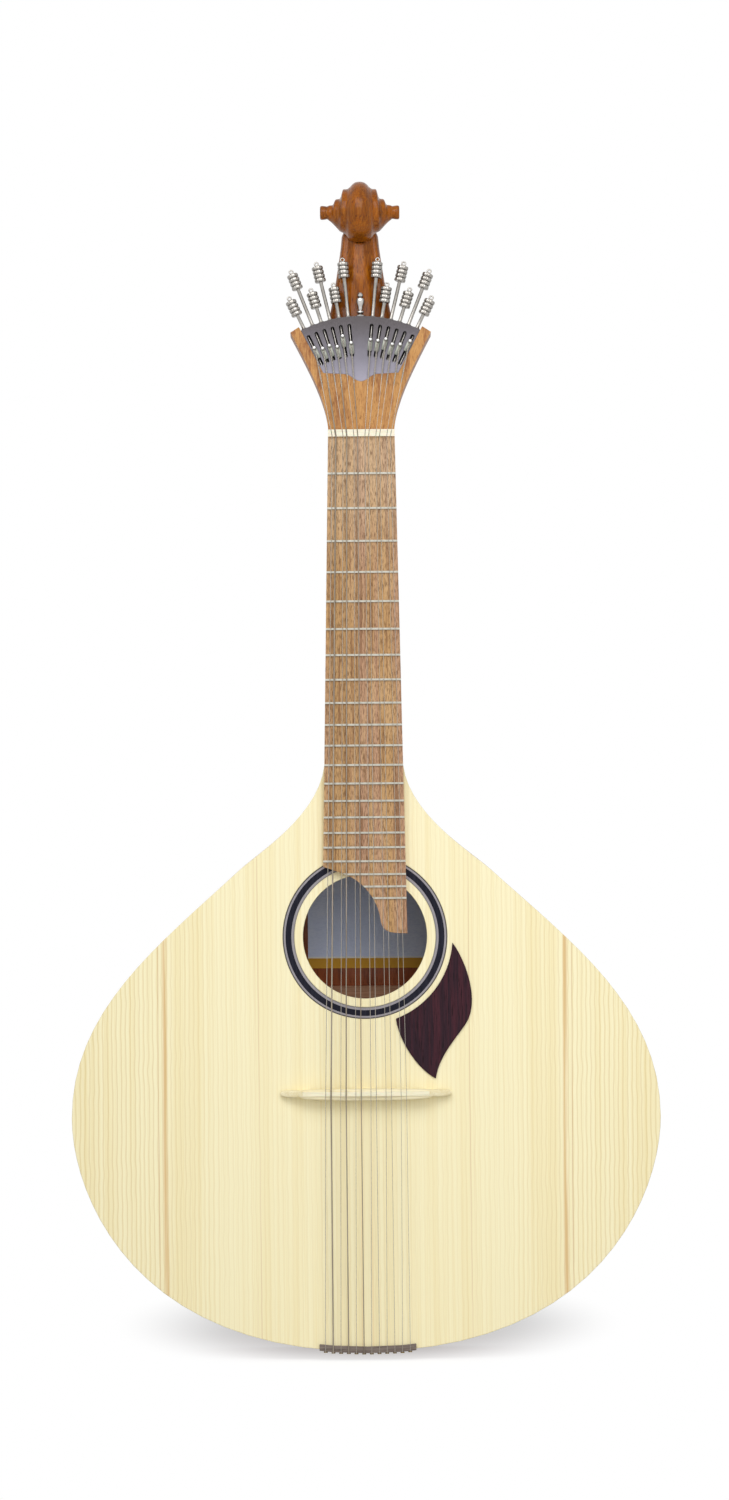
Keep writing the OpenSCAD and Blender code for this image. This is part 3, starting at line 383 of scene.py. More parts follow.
def plated(name, base, worn, dark, roughness, reach=0.9, dull_spots_and_side_shade=0.6):
    """Nickel plate over brass: bright, with clouded patches, fine pits and painted shade in its corners.

    The flanks and undersides are painted darker by the share given last: painted shade and painted reflection.
    """
    material, tree = fresh(name)
    cloud = grain(tree, 2.2, 3.4, 0.4, 0.65, 0.45, seed=4)
    marks = grain(tree, 0.3, 0.4, 0.5, 0.62, 1.0, seed=8, detail=2.0)
    # painted shade and painted reflection: faces turned sideways or downwards are mixed towards the dark colour
    facing = add(tree, "SeparateXYZ", {0: add(tree, "NewGeometry").outputs["Normal"]})
    flank_shade = add(tree, "Math", {0: facing.outputs["X"]}, operation="ABSOLUTE").outputs[0]
    flank_shade = add(tree, "MapRange", {"Value": flank_shade, "From Min": 0.45, "From Max": 0.95, "To Max": dull_spots_and_side_shade}).outputs[0]
    under = add(tree, "MapRange", {"Value": facing.outputs["Z"], "From Min": -0.1, "From Max": -0.8,
                                   "To Max": dull_spots_and_side_shade * 1.25}).outputs[0]
    tone = layered(tree, tuple(base), (cloud, worn), (flank_shade, dark), (under, dark))
    # painted shade in the corners
    tone = corner_shade(tree, reach, tone, dark)
    rough = add(tree, "MapRange", {"Value": marks, "To Min": roughness, "To Max": roughness + 0.12}).outputs[0]
    close(tree, {"Base Color": tone, "Metallic": 1.0, "Roughness": rough}, marks, 0.006, 0.5)
    return material


def machine_plate_metal(base):
    """Nickel silver plate, brushed along its height: lilac grey, painted darker towards the top edge and lighter on the
    low tongue, as painted reflection.
    """
    material, tree = fresh("plate_brushed_nickel")
    parts = add(tree, "SeparateXYZ", {0: add(tree, "TexCoord").outputs["Object"]})
    low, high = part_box("machine_plate")
    # painted reflection: darker towards the top edge, lighter on the low tongue
    painted_top_shade = add(tree, "MapRange", {"Value": parts.outputs["Z"], "From Min": low.z + 0.2 * (high.z - low.z),
                                  "From Max": high.z, "To Max": 0.9}, interpolation_type="SMOOTHSTEP").outputs[0]
    cloud = grain(tree, 9, 14, 0.4, 0.65, 0.35, seed=6)
    brush = grain(tree, 0.18, 9, 0.4, 0.6, 1.0, seed=12, detail=2.0)
    painted_tongue_light = add(tree, "MapRange", {"Value": parts.outputs["Z"], "From Min": low.z + 0.018, "From Max": low.z,
                                    "To Max": 0.8}, interpolation_type="SMOOTHSTEP").outputs[0]
    tone = layered(tree, tuple(base), (cloud, "#67656E"), (painted_top_shade, "#454040"), (painted_tongue_light, "#86838F"))
    rough = add(tree, "MapRange", {"Value": brush, "To Min": 0.36, "To Max": 0.52}).outputs[0]
    close(tree, {"Base Color": tone, "Metallic": 0.75, "Roughness": rough}, brush, 0.006, 0.5)
    return material


def bone(name, base, stain):
    """Polished bone: cream with faint darker fibres and a waxy shine."""
    material, tree = fresh(name)
    fibres = grain(tree, 0.5, 9, 0.45, 0.7, 0.5, axis=0, seed=3)
    cloud = grain(tree, 4, 7, 0.4, 0.7, 0.5, axis=0, seed=13)
    tone = layered(tree, linear(base), (cloud, stain), (fibres, "#D8CFAE"))
    close(tree, {"Base Color": tone, "Roughness": 0.32, "IOR": 1.54, "Subsurface Weight": 0.1,
                 "Subsurface Scale": 0.001}, fibres, 0.01, 0.4)
    return material


def label_paper():
    """Laid paper glued to the back: pale blue-grey, with a plain mustard band along its foot."""
    material, tree = fresh("laid_paper")
    parts = add(tree, "SeparateXYZ", {0: add(tree, "TexCoord").outputs["Object"]})
    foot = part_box("paper_label")[0].z
    band = add(tree, "Math", {0: parts.outputs["Z"], 1: foot + 0.0068}, operation="LESS_THAN").outputs[0]
    edge = add(tree, "Math", {0: parts.outputs["Z"], 1: foot + 0.0078}, operation="LESS_THAN").outputs[0]
    fibres = grain(tree, 0.8, 2.5, 0.4, 0.7, 0.5, axis=0, seed=1)
    cloud = grain(tree, 25, 40, 0.35, 0.7, 0.6, axis=0, seed=9)
    tone = layered(tree, linear("#DDE7FF"), (cloud, "#ECF2FF"), (fibres, "#CCD8F2"), (edge, "#F2F0E6"),
                   (band, "#D9A23A"))
    close(tree, {"Base Color": tone, "Roughness": 0.85}, fibres, 0.02, 0.5)
    return material


def winding(name, base, dark, pitch):
    """Wire wound round a core; the real turns of 0.2 mm are drawn wider, or they wouldn't show."""
    material, tree = fresh(name)
    turns = add(tree, "TexWave", {"Vector": add(tree, "TexCoord").outputs["Object"],
                                  "Scale": 0.31416 / (pitch * MM)}, bands_direction="Z",
                wave_profile="SIN").outputs["Fac"]
    cloud = grain(tree, 3, 60, 0.4, 0.65, 0.5, seed=5)
    # the troughs between the turns are painted darker: painted shade
    tone = layered(tree, tuple(base), (cloud, "#C4B9A8"),
                   (add(tree, "MapRange", {"Value": turns, "From Min": 0.5, "From Max": 0.0}).outputs[0], dark))
    close(tree, {"Base Color": tone, "Metallic": 0.9, "Roughness": 0.34}, turns, 0.08, 0.8)
    return material


def drawn_wire(name, base, spot):
    """Drawn steel: bright, with faint lengthwise die marks and dull spots."""
    material, tree = fresh(name)
    marks = grain(tree, 0.08, 12, 0.4, 0.6, 1.0, seed=2, detail=1.0)
    dull_spots_and_side_shade = grain(tree, 2, 45, 0.5, 0.7, 0.6, seed=19)
    tone = layered(tree, tuple(base), (dull_spots_and_side_shade, spot))
    rough = add(tree, "MapRange", {"Value": marks, "To Min": 0.22, "To Max": 0.36}).outputs[0]
    close(tree, {"Base Color": tone, "Metallic": 0.9, "Roughness": rough}, marks, 0.004, 0.4)
    return material


# Mesh work

class Shape:
    """Vertices and faces gathered for one piece."""

    def __init__(self):
        self.verts = []
        self.faces = []
        self.marks = []

    def skin(self, rows, mark=0, closed=True, caps=True):
        """Join rows of equal length; closed rows are rings, and caps close the two ends."""
        start, n = len(self.verts), len(rows[0])
        for row in rows:
            self.verts.extend(row)
        faces = []
        for j in range(len(rows) - 1):
            for k in range(n if closed else n - 1):
                a, b = start + j * n + k, start + j * n + (k + 1) % n
                faces.append((a, b, b + n, a + n))
        if caps:
            faces.append(tuple(start + k for k in range(n))[::-1])
            faces.append(tuple(start + (len(rows) - 1) * n + k for k in range(n)))
        self.faces.extend(faces)
        self.marks.extend([mark] * len(faces))


def ring(centre, u, v, radius, n, turn=0.0):
    """A circle of n points in the plane of u and v."""
    return [centre + radius * (math.cos(TAU * k / n + turn) * u + math.sin(TAU * k / n + turn) * v)
            for k in range(n)]


def tube(points, radius, n):
    """Rings along a path, carried round its bends without a twist."""
    rows = []
    along = (points[1] - points[0]).normalized()
    u = along.orthogonal().normalized()
    for k, here in enumerate(points):
        before = (here - points[k - 1]).normalized() if k else along
        after = (points[k + 1] - here).normalized() if k + 1 < len(points) else before
        t = (before + after).normalized()
        u = (u - u.dot(t) * t).normalized()
        rows.append(ring(here, u, t.cross(u), radius, n))
    return rows


def piece(name, shape, materials, body=None, sharp=40):
    """Make an object of a shape, outward normals and smooth but for edges past sharp degrees."""
    mesh = bpy.data.meshes.new(name)
    mesh.from_pydata(shape.verts, [], shape.faces)
    mesh.polygons.foreach_set("material_index", shape.marks)
    for material in materials:
        mesh.materials.append(material)
    work = bmesh.new()
    work.from_mesh(mesh)
    bmesh.ops.remove_doubles(work, verts=work.verts, dist=2e-6)
    bmesh.ops.recalc_face_normals(work, faces=work.faces)
    work.to_mesh(mesh)
    work.free()
    mesh.shade_smooth()
    mesh.set_sharp_from_angle(angle=math.radians(sharp))
    made = bpy.data.objects.new(name, mesh)
    bpy.context.scene.collection.objects.link(made)
    if body:
        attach(made, body)
    return made


def dress(material, *names):
    """Give CAD nodes a material."""
    for name in names:
        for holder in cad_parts[name].material_slots:
            holder.material = material


def soften(width, *names):
    """Round the edges of CAD nodes over width mm, by modifiers alone."""
    for name in names:
        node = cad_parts[name]
        for face in node.data.polygons:
            face.use_smooth = True
        weld = node.modifiers.new("weld", "WELD")
        weld.merge_threshold = 1e-6
        bevel = node.modifiers.new("rounded edges", "BEVEL")
        bevel.width = width * MM
        bevel.segments = 2
        bevel.limit_method = "ANGLE"
        bevel.angle_limit = math.radians(38)
        normals = node.modifiers.new("flat faces", "WEIGHTED_NORMAL")
        normals.keep_sharp = False


# The guitar's own geometry

def tail(x, y, z):
    """A point given in millimetres from the tail end, in the frame's metres."""
    return Vector((x, y, z - HANG_Z)) * MM


def head(x, y, h):
    """A point given in the head's frame."""
    return Vector((x, HEAD_Y + y * math.cos(TILT) + h * math.sin(TILT),
                   FAN_Z - HANG_Z - y * math.sin(TILT) + h * math.cos(TILT))) * MM


def fan_rank(i):
    return 5 - i if i < 6 else i - 6


def fan_angle(i):
    return math.radians((-1 if i < 6 else 1) * (FAN_FIRST + FAN_STEP * fan_rank(i)))


def on_tuner(i, x, y, r):
    """A point given across, behind and along tuner i."""
    a = fan_angle(i)
    return head(r * math.sin(a) + x * math.cos(a), y, r * math.cos(a) - x * math.sin(a))


def tuner_axes(i):
    """Unit vectors across, behind and along tuner i."""
    o = on_tuner(i, 0, 0, 0)
    return [(on_tuner(i, *p) - o).normalized() for p in ((1, 0, 0), (0, 1, 0), (0, 0, 1))]


def ball_at(i):
    return SLOT_TOP - HOOK_DROPS[i]


def string_r(i):
    return TREBLE_R + (BASS_R - TREBLE_R) * STRING_SHARES[i]


def course_x(i, spacing):
    pitch, pair = spacing
    return (i // 2 - 2.5) * pitch + (i % 2 - 0.5) * pair


def camber(x):
    return CAMBER_R - math.sqrt(CAMBER_R ** 2 - x * x)


def cubic(a, b, c, d, t):
    s = 1 - t
    return s ** 3 * a + 3 * s * s * t * b + 3 * s * t * t * c + t ** 3 * d


# The lower edge of the body from its widest point to the tail, as across and up
TAIL_CURVE = [Vector(p) for p in ((197.5, 157), (197.5, 104), (155, 0), (0, 0))]


def tail_edge(x):
    """Height of the body's lower edge at a distance from the centre line."""
    low, high = 0.5, 1.0
    for _ in range(30):
        mid = (low + high) / 2
        if cubic(*TAIL_CURVE, mid).x > abs(x):
            low = mid
        else:
            high = mid
    return cubic(*TAIL_CURVE, low).y


def smooth(t):
    t = min(1.0, max(0.0, t))
    return t * t * (3 - 2 * t)


def lookup(table, x):
    """Read a table of rising places and values, with straight lines between them."""
    for (x0, y0), (x1, y1) in zip(table, table[1:]):
        if x <= x1:
            return y0 + (y1 - y0) * (max(x, x0) - x0) / (x1 - x0)
    return table[-1][1]


def signed(v, e):
    return math.copysign(abs(v) ** e, v)


class GuitarOperator(Operator):
    """Shared settings of the guitar's operators."""
    bl_options = {"REGISTER", "UNDO"}


class GUITAR_OT_stage(GuitarOperator):
    """White studio with a pale floor, one large soft lamp and the camera."""
    bl_idname = "guitar.stage"
    bl_label = "Studio and camera"

    def execute(self, context):
        look = context.scene.guitar_stage
        centre = tail(0, 0, 403.4)
        camera = bpy.data.objects.new("camera", bpy.data.cameras.new("camera"))
        context.scene.collection.objects.link(camera)
        # the photograph's 1500 pixels span 1.006 m at the soundboard, and it leans by a third of a degree
        camera.data.lens = 36 * look.distance / 1.006
        camera.data.clip_end = 20
        camera.matrix_world = (Matrix.Translation((0.0006, -look.distance, centre.z))
                               @ Matrix.Rotation(math.radians(90), 4, "X")
                               @ Matrix.Rotation(math.radians(-0.42), 4, "Z"))
        context.scene.camera = camera

        for name, power, place, wide, high in (("key", look.key, (-0.3, -1.5, 1.1), 2.0, 1.2),
                                               ("fill", look.fill, (0.2, -0.9, -0.1), 0.8, 0.8)):
            lamp = bpy.data.lights.new(name, "AREA")
            lamp.shape = "RECTANGLE"
            lamp.size, lamp.size_y = wide, high
            lamp.energy = power
            holder = bpy.data.objects.new(name, lamp)
            context.scene.collection.objects.link(holder)
            aim = Vector((0.0, 0.0, -0.3)) - Vector(place)
            holder.matrix_world = Matrix.Translation(place) @ aim.to_track_quat("-Z", "Y").to_matrix().to_4x4()
            holder.visible_glossy = name == "key"

        world = bpy.data.worlds.new("studio")
        context.scene.world = world
        world.use_nodes = True
        tree = world.node_tree
        tree.nodes.clear()
        level = add(tree, "MapRange", {"Value": seen_ray(tree), "To Min": look.ambient, "To Max": 1.0}).outputs[0]
        sky = add(tree, "Background", {"Color": (1, 1, 1, 1), "Strength": level})
        add(tree, "OutputWorld", {"Surface": sky.outputs[0]})

        # the floor keeps the shadow near the guitar and turns into the white studio further out
        half, gap = 0.75, look.floor_gap
        z = CAD_BOX[0].z - gap
        shape = Shape()
        steps = 24
        shape.skin([[Vector((half * (2 * k / steps - 1), half * (2 * j / steps - 1), z)) for k in range(steps + 1)]
                    for j in range(steps + 1)], closed=False, caps=False)
        mesh = bpy.data.meshes.new("floor")
        mesh.from_pydata(shape.verts, [], shape.faces)
        floor = bpy.data.objects.new("floor", mesh)
        context.scene.collection.objects.link(floor)
        material, tree = fresh("floor_paper")
        here = add(tree, "TexCoord").outputs["Object"]
        oval = add(tree, "Mapping", {"Vector": here, "Location": (0.0, -0.14, 0.0), "Scale": (1.0, 0.5, 0.0)})
        away = add(tree, "VectorMath", {0: oval.outputs[0]}, operation="LENGTH").outputs["Value"]
        fade = add(tree, "MapRange", {"Value": away, "From Min": 0.085, "From Max": 0.185},
                   interpolation_type="SMOOTHSTEP").outputs[0]
        seen = seen_ray(tree)
        matt = add(tree, "BsdfDiffuse", {"Color": linear("#DADADA")})
        # what is seen of the paper is topped up to white, and out of reach of the shadow it is the studio's white
        lift = add(tree, "Emission", {"Color": (1, 1, 1, 1), "Strength": add(
            tree, "Math", {0: seen, 1: 0.42}, operation="MULTIPLY").outputs[0]})
        near = add(tree, "AddShader", {0: matt.outputs[0], 1: lift.outputs[0]})
        glow = add(tree, "Emission", {"Color": (1, 1, 1, 1), "Strength": 1.0})
        far = add(tree, "Math", {0: fade, 1: seen}, operation="MULTIPLY").outputs[0]
        both = add(tree, "MixShader", {0: far, 1: near.outputs[0], 2: glow.outputs[0]})
        add(tree, "OutputMaterial", {"Surface": both.outputs[0]})
        mesh.materials.append(material)
        return {"FINISHED"}


class GUITAR_OT_body(GuitarOperator):
    """Soundboard, ribs, back, inside woods, rosette, label and pickguard."""
    bl_idname = "guitar.body"
    bl_label = "Body"

    def execute(self, context):
        woods = context.scene.guitar_woods
        dress(spruce_top(woods.spruce), "soundboard")
        ribs = timber("rosewood_gloss_varnish", woods.ribs, ("#65301A", "#A65C33"), "#40200F", 12, 260, 0.3,
                      coat=0.15, seed=31, gloss=0.2)
        dress(ribs, "back_plate")
        bent = timber("rosewood_bent_gloss_varnish", woods.ribs, ("#65301A", "#A65C33"), "#40200F", 9, 260, 0.3,
                      coat=0.4, seed=33, bent=True)
        dress(bent, "rib_left", "rib_right")
        inside = timber("lining_lime", linear("#D8B88A"), ("#CBA673", "#E3C79C"), "#B08D5E", 8, 120, 0.6, seed=37)
        dress(inside, "top_lining", "back_lining")
        brace = timber("brace_split_spruce", linear("#AD7E62"), ("#946A50", "#BD9274"), "#7C5842", 3, 160, 0.6,
                       seed=41, axis=0)
        dress(brace, "top_braces", "back_braces")
        block = timber("block_cedar", linear("#A4713F"), ("#8B5C30", "#B98450"), "#6F4724", 6, 90, 0.6, seed=43)
        dress(block, "neck_block", "tail_block")
        # the paper ends 3 mm nearer the middle than the plain sheet, so the back shows beside it in the hole
        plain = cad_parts["paper_label"]
        shape = Shape()
        shape.verts = [plain.matrix_world @ v.co for v in plain.data.vertices]
        for place in shape.verts:
            place.x = max(place.x, LABEL_END * MM)
        shape.faces = [tuple(face.vertices) for face in plain.data.polygons]
        shape.marks = [0] * len(shape.faces)
        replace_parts(piece("label_sheet", shape, [label_paper()], "guitar"), "paper_label")
        black = timber("rosette_stained_pear", linear("#20202B"), ("#2B2B37", "#15151C"), "#101016", 2, 16, 0.4,
                       seed=47, gloss=0.08)
        dress(black, "rosette_band")
        dress(purfling(), "rosette_lines")
        leaf = timber("pickguard_rosewood", woods.guard, ("#4A242D", "#27171F"), "#170D11", 3, 70, 0.36,
                      seed=59, pore=0.5, pore_amount=0.8, gloss=0.12)
        dress(leaf, "pickguard")
        soften(0.5, "soundboard", "back_plate")
        soften(0.25, "pickguard")
        return {"FINISHED"}


class GUITAR_OT_neck(GuitarOperator):
    """Neck, fingerboard, frets, nut and the head's wood."""
    bl_idname = "guitar.neck"
    bl_label = "Neck and head"

    def execute(self, context):
        woods = context.scene.guitar_woods
        dress(walnut_board(woods.board), "fingerboard")
        soften(0.35, "fingerboard")
        crown = plated("fret_nickel_silver", linear("#CBC8BC"), "#B5B1A2", "#5E5748", 0.34, 0.9)
        dress(crown, "frets")
        soften(0.4, "frets")
        dress(bone("nut_bone", "#F5EED8", "#EDEAD4"), "nut")
        soften(0.3, "nut")
        # a pale leaf about 2 mm thick faces the head, and the wood behind it is that of the neck
        behind = head(0, 1, 0) - head(0, 0, 0)
        behind.normalize()
        face = head(0, 0, 0).dot(behind)
        satin = timber("head_mahogany_satin", woods.head, ("#8E542B", "#D3A05F"), "#7A4520", 4.5, 120, 0.42,
                       seed=61, pore=0.45, pore_amount=0.6, stain=(behind, face + 1.8 * MM, face + 2.1 * MM, "#9A5A26"))
        dress(satin, "headstock")
        soften(0.4, "headstock")

        satin_neck = timber("neck_mahogany_satin", linear("#A8652F"), ("#8C4F24", "#B97A3D"), "#6B3A1B", 6, 190,
                            0.36, coat=0.35, seed=67)
        shape = Shape()
        body_top, neck_top = 393.4, 618.1
        heel_depth, neck_depth, neck_swell, heel_len = 76.4, 16.0, 3.0, 62.0
        around, steps = 56, 90
        rows = []
        for k in range(steps + 1):
            t = (k / steps) ** 1.8
            z = body_top + (neck_top - body_top) * t
            fall = (1 - min(1, (z - body_top) / heel_len)) ** 2.3
            half = 22.35 + 0.0184 * max(0, NUT_Z - z)
            depth = neck_depth + neck_swell * (1 - t) + (heel_depth - neck_depth - neck_swell) * fall
            square = 2.3 + 3.2 * fall
            row = []
            for m in range(around + 1):
                a = math.pi * m / around
                row.append(tail(half * signed(math.cos(a), 2 / square), depth * math.sin(a) ** (2 / square)
                                if 0 < m < around else 0.0, z))
            rows.append(row)
        shape.skin(rows)
        neck = piece("neck_carved", shape, [satin_neck], "guitar", 50)
        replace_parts(neck, "neck")
        return {"FINISHED"}


class GUITAR_OT_scroll(GuitarOperator):
    """The carved scroll and the neck that rises to it behind the tuners."""
    bl_idname = "guitar.scroll"
    bl_label = "Scroll"

    # the volute's ridge at each half turn: distance from the middle and radius, in millimetres
    ridge_x = ((0, 6.3), (1, 6.3), (2, 7.4), (3, 10.8), (4, 13.4), (5, 16.0), (6, 18.6), (7, 20.6), (8, 21.6))
    ridge_r = ((0, 20.9), (1, 20.9), (2, 20.4), (3, 16.9), (4, 13.5), (5, 9.8), (6, 7.7), (7, 5.6), (8, 5.1))
    # how far the ridge's outer edge is rounded off
    ridge_e = ((0, 3.6), (1.5, 3.6), (2.3, 0.9), (8, 0.6))
    swan_half = ((56, 23), (70, 22.6), (88, 21.3), (100, 19), (113, 16.6), (130, 14), (138.1, 12.9), (146, 12.2),
                 (160.2, 6.3))
    swan_back = ((56, 15), (70, 17.6), (88, 21.2), (113, 24.4), (130, 25.6), (138.1, 25.8), (160.2, 25.8))

    def at(self, x, r, turn):
        """A point of the scroll: across, radius and half turns from the bottom over back and top."""
        a = math.pi * turn
        return head(x, SCROLL_Y + r * math.sin(a), SCROLL_H - r * math.cos(a))

    def ridge(self, turn):
        return lookup(self.ridge_x, turn), lookup(self.ridge_r, turn), lookup(self.ridge_e, turn)

    def strip(self, turn):
        """The volute's section from one ridge to the next one further out."""
        xa, ra, ea = self.ridge(turn)
        xb, rb, eb = self.ridge(turn + 2)
        # a stepped cove above, which runs out into a plain slope below
        slope = (0.5 + 0.5 * math.cos(math.pi * turn)) ** 2 * (0.4 + 0.6 * smooth(turn - 2))
        fall = ra - ea - (rb - eb)
        return [(xa + u * (xb - xa), rb - eb + fall * (step + (1 - u - step) * slope))
                for u, step in ((0, 1), (0.07, 0.94), (0.17, 0.68), (0.28, 0.34), (0.4, 0.13), (0.54, 0.05),
                                (0.7, 0.05), (0.87, 0.04), (1, 0))]

    def execute(self, context):
        gloss = timber("scroll_mahogany_gloss", context.scene.guitar_woods.scroll, ("#733C0C", "#AE6A1A"),
                       "#451D08", 4.5, 26, 0.26, coat=0.2, seed=71, gloss=0.12, pore=0.55, pore_amount=0.7, relief=0.03,
                       stain=((0, 0, -1), -head(0, 0, 122).z, -head(0, 0, 70).z, "#743A0A"))
        shape = Shape()
        per_turn, across = 64, 9
        band = []
        for j in range(per_turn + 1):
            turn = 2 * j / per_turn
            x, r, e = self.ridge(turn)
            places = [k / across for k in range(-across, across + 1)]
            band.append([self.at(x * u, r - e * abs(u) ** 2.6, turn) for u in places])
        shape.skin(band, closed=False, caps=False)
        for side in (-1, 1):
            coil = [[self.at(side * x, r, 2 * j / per_turn) for x, r in self.strip(2 * j / per_turn)]
                    for j in range(3 * per_turn + 1)]
            shape.skin(coil, closed=False, caps=False)
            # the last coil narrows to nothing against the eye, a short round stud
            last = self.strip(6)
            (x6, r6), (x8, r8) = last[0], last[-1]
            stud = [(22.1, 4.2), (23.4, 4.6), (25.2, 4.75), (26.2, 4.7), (SCROLL_HALF - 0.15, 4.2),
                    (SCROLL_HALF, 3.5), (SCROLL_HALF, 1.8), (SCROLL_HALF, 0.0)]
            eye = []
            for j in range(per_turn + 1):
                turn = 6 + 2 * j / per_turn
                x, r, e = self.ridge(turn)
                left = (x8 - x) / (x8 - x6), (r8 - r + e) / (r8 - r6)
                eye.append([self.at(side * a, b, turn) for a, b in
                            [(x + (a - x6) * left[0], r - e + (b - r6) * left[1]) for a, b in last] + stud])
            shape.skin(eye, closed=False, caps=False)
        scroll = piece("scroll_carved", shape, [gloss], "guitar", 60)
        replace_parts(scroll, "scroll")
        finer = scroll.modifiers.new("finer carving", "SUBSURF")
        finer.levels = finer.render_levels = 1

        shape = Shape()
        rows = []
        low, high, steps, around = 54.5, 160.2, 60, 72
        for j in range(steps + 1):
            h = low + (high - low) * j / steps
            half, back, front = lookup(self.swan_half, h) + 0.15, lookup(self.swan_back, h) + 0.15, 9.45
            ridge = 0.9 + 1.3 * smooth((h - 95) / 25)
            row = []
            for k in range(around):
                a = TAU * (k + 0.5) / around
                x = half * signed(math.cos(a), 0.7)
                y = (front + back) / 2 + (back - front) / 2 * signed(math.sin(a), 0.7)
                if math.sin(a) < 0:
                    u = x / half
                    y -= ridge * math.exp(-(u / 0.45) ** 4) * abs(math.sin(a))
                    y -= 0.5 * ridge * math.exp(-((abs(u) - 0.86) / 0.12) ** 2)
                row.append(head(x, y, h))
            rows.append(row)
        shape.skin(rows)
        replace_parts(piece("swan_neck", shape, [gloss], "guitar", 70), "scroll")
        return {"FINISHED"}


class GUITAR_OT_bridge(GuitarOperator):
    """Floating bridge, bone saddle, tail saddle and tail pins."""
    bl_idname = "guitar.bridge"
    bl_label = "Bridge and tail"

    half = 57.3
    # distance from the middle, lower edge, upper edge and top of the bridge, in millimetres
    plan = ((0, 168.9, 176.6, -10.5), (15, 168.9, 176.5, -10.5), (30, 169.3, 176.3, -10.5),
            (40, 170.1, 176.0, -10.5), (42.8, 170.5, 175.9, -10.4), (43.8, 171.2, 175.4, -9.6),
            (45, 171.4, 175.5, -8.6), (49, 170.9, 175.8, -7.2), (53, 171.2, 175.6, -5.6), (56, 171.7, 175.2, -4.6),
            (57.3, 172.6, 174.4, -4.1))

    def execute(self, context):
        woods = context.scene.guitar_woods
        maple = timber("bridge_maple_satin", woods.bridge, ("#E6D6A4", "#F8F0D2"), "#CDB67E", 3, 50, 0.4, coat=0.2,
                       seed=73, axis=0, pore=0.3, pore_amount=0.3)
        shape, rows = Shape(), []
        steps = 96
        for k in range(steps + 1):
            x = self.half * math.sin(math.pi * (k / steps - 0.5))
            low, high, top = [lookup([(p[0], p[j]) for p in self.plan], abs(x)) for j in (1, 2, 3)]
            arch = max(0.0, 1 - ((abs(x) - 22) / 16) ** 2)
            under = -3.6 * arch ** 0.6 - 1.2 * smooth((abs(x) - 44) / 8)
            edge = min(0.9, (high - low) / 4, (under - top) / 3)
            rows.append([tail(x, y, z) for z, y in (
                (low, under), (low, top + edge), (low + 0.3 * edge, top + 0.3 * edge), (low + edge, top),
                (high - edge, top), (high - 0.3 * edge, top + 0.3 * edge), (high, top + edge), (high, under))])
        shape.skin(rows)
        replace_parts(piece("bridge_carved", shape, [maple], "guitar", 50), "bridge")
        dress(bone("saddle_bone", "#F7F0D2", "#F0E7C2"), "saddle")
        soften(0.3, "saddle")
        dark = timber("tail_hardwood_oiled", woods.tail, ("#655952", "#92867D"), "#473D38", 2.5, 30, 0.5, seed=79,
                      axis=0, pore=0.4, pore_amount=0.6)
        dress(dark, "tail_saddle")
        soften(0.35, "tail_saddle")
        brass = plated("pin_drawn_brass", linear("#8E7A50"), "#75633F", "#3F351F", 0.34)
        dress(brass, "tail_pins")
        return {"FINISHED"}


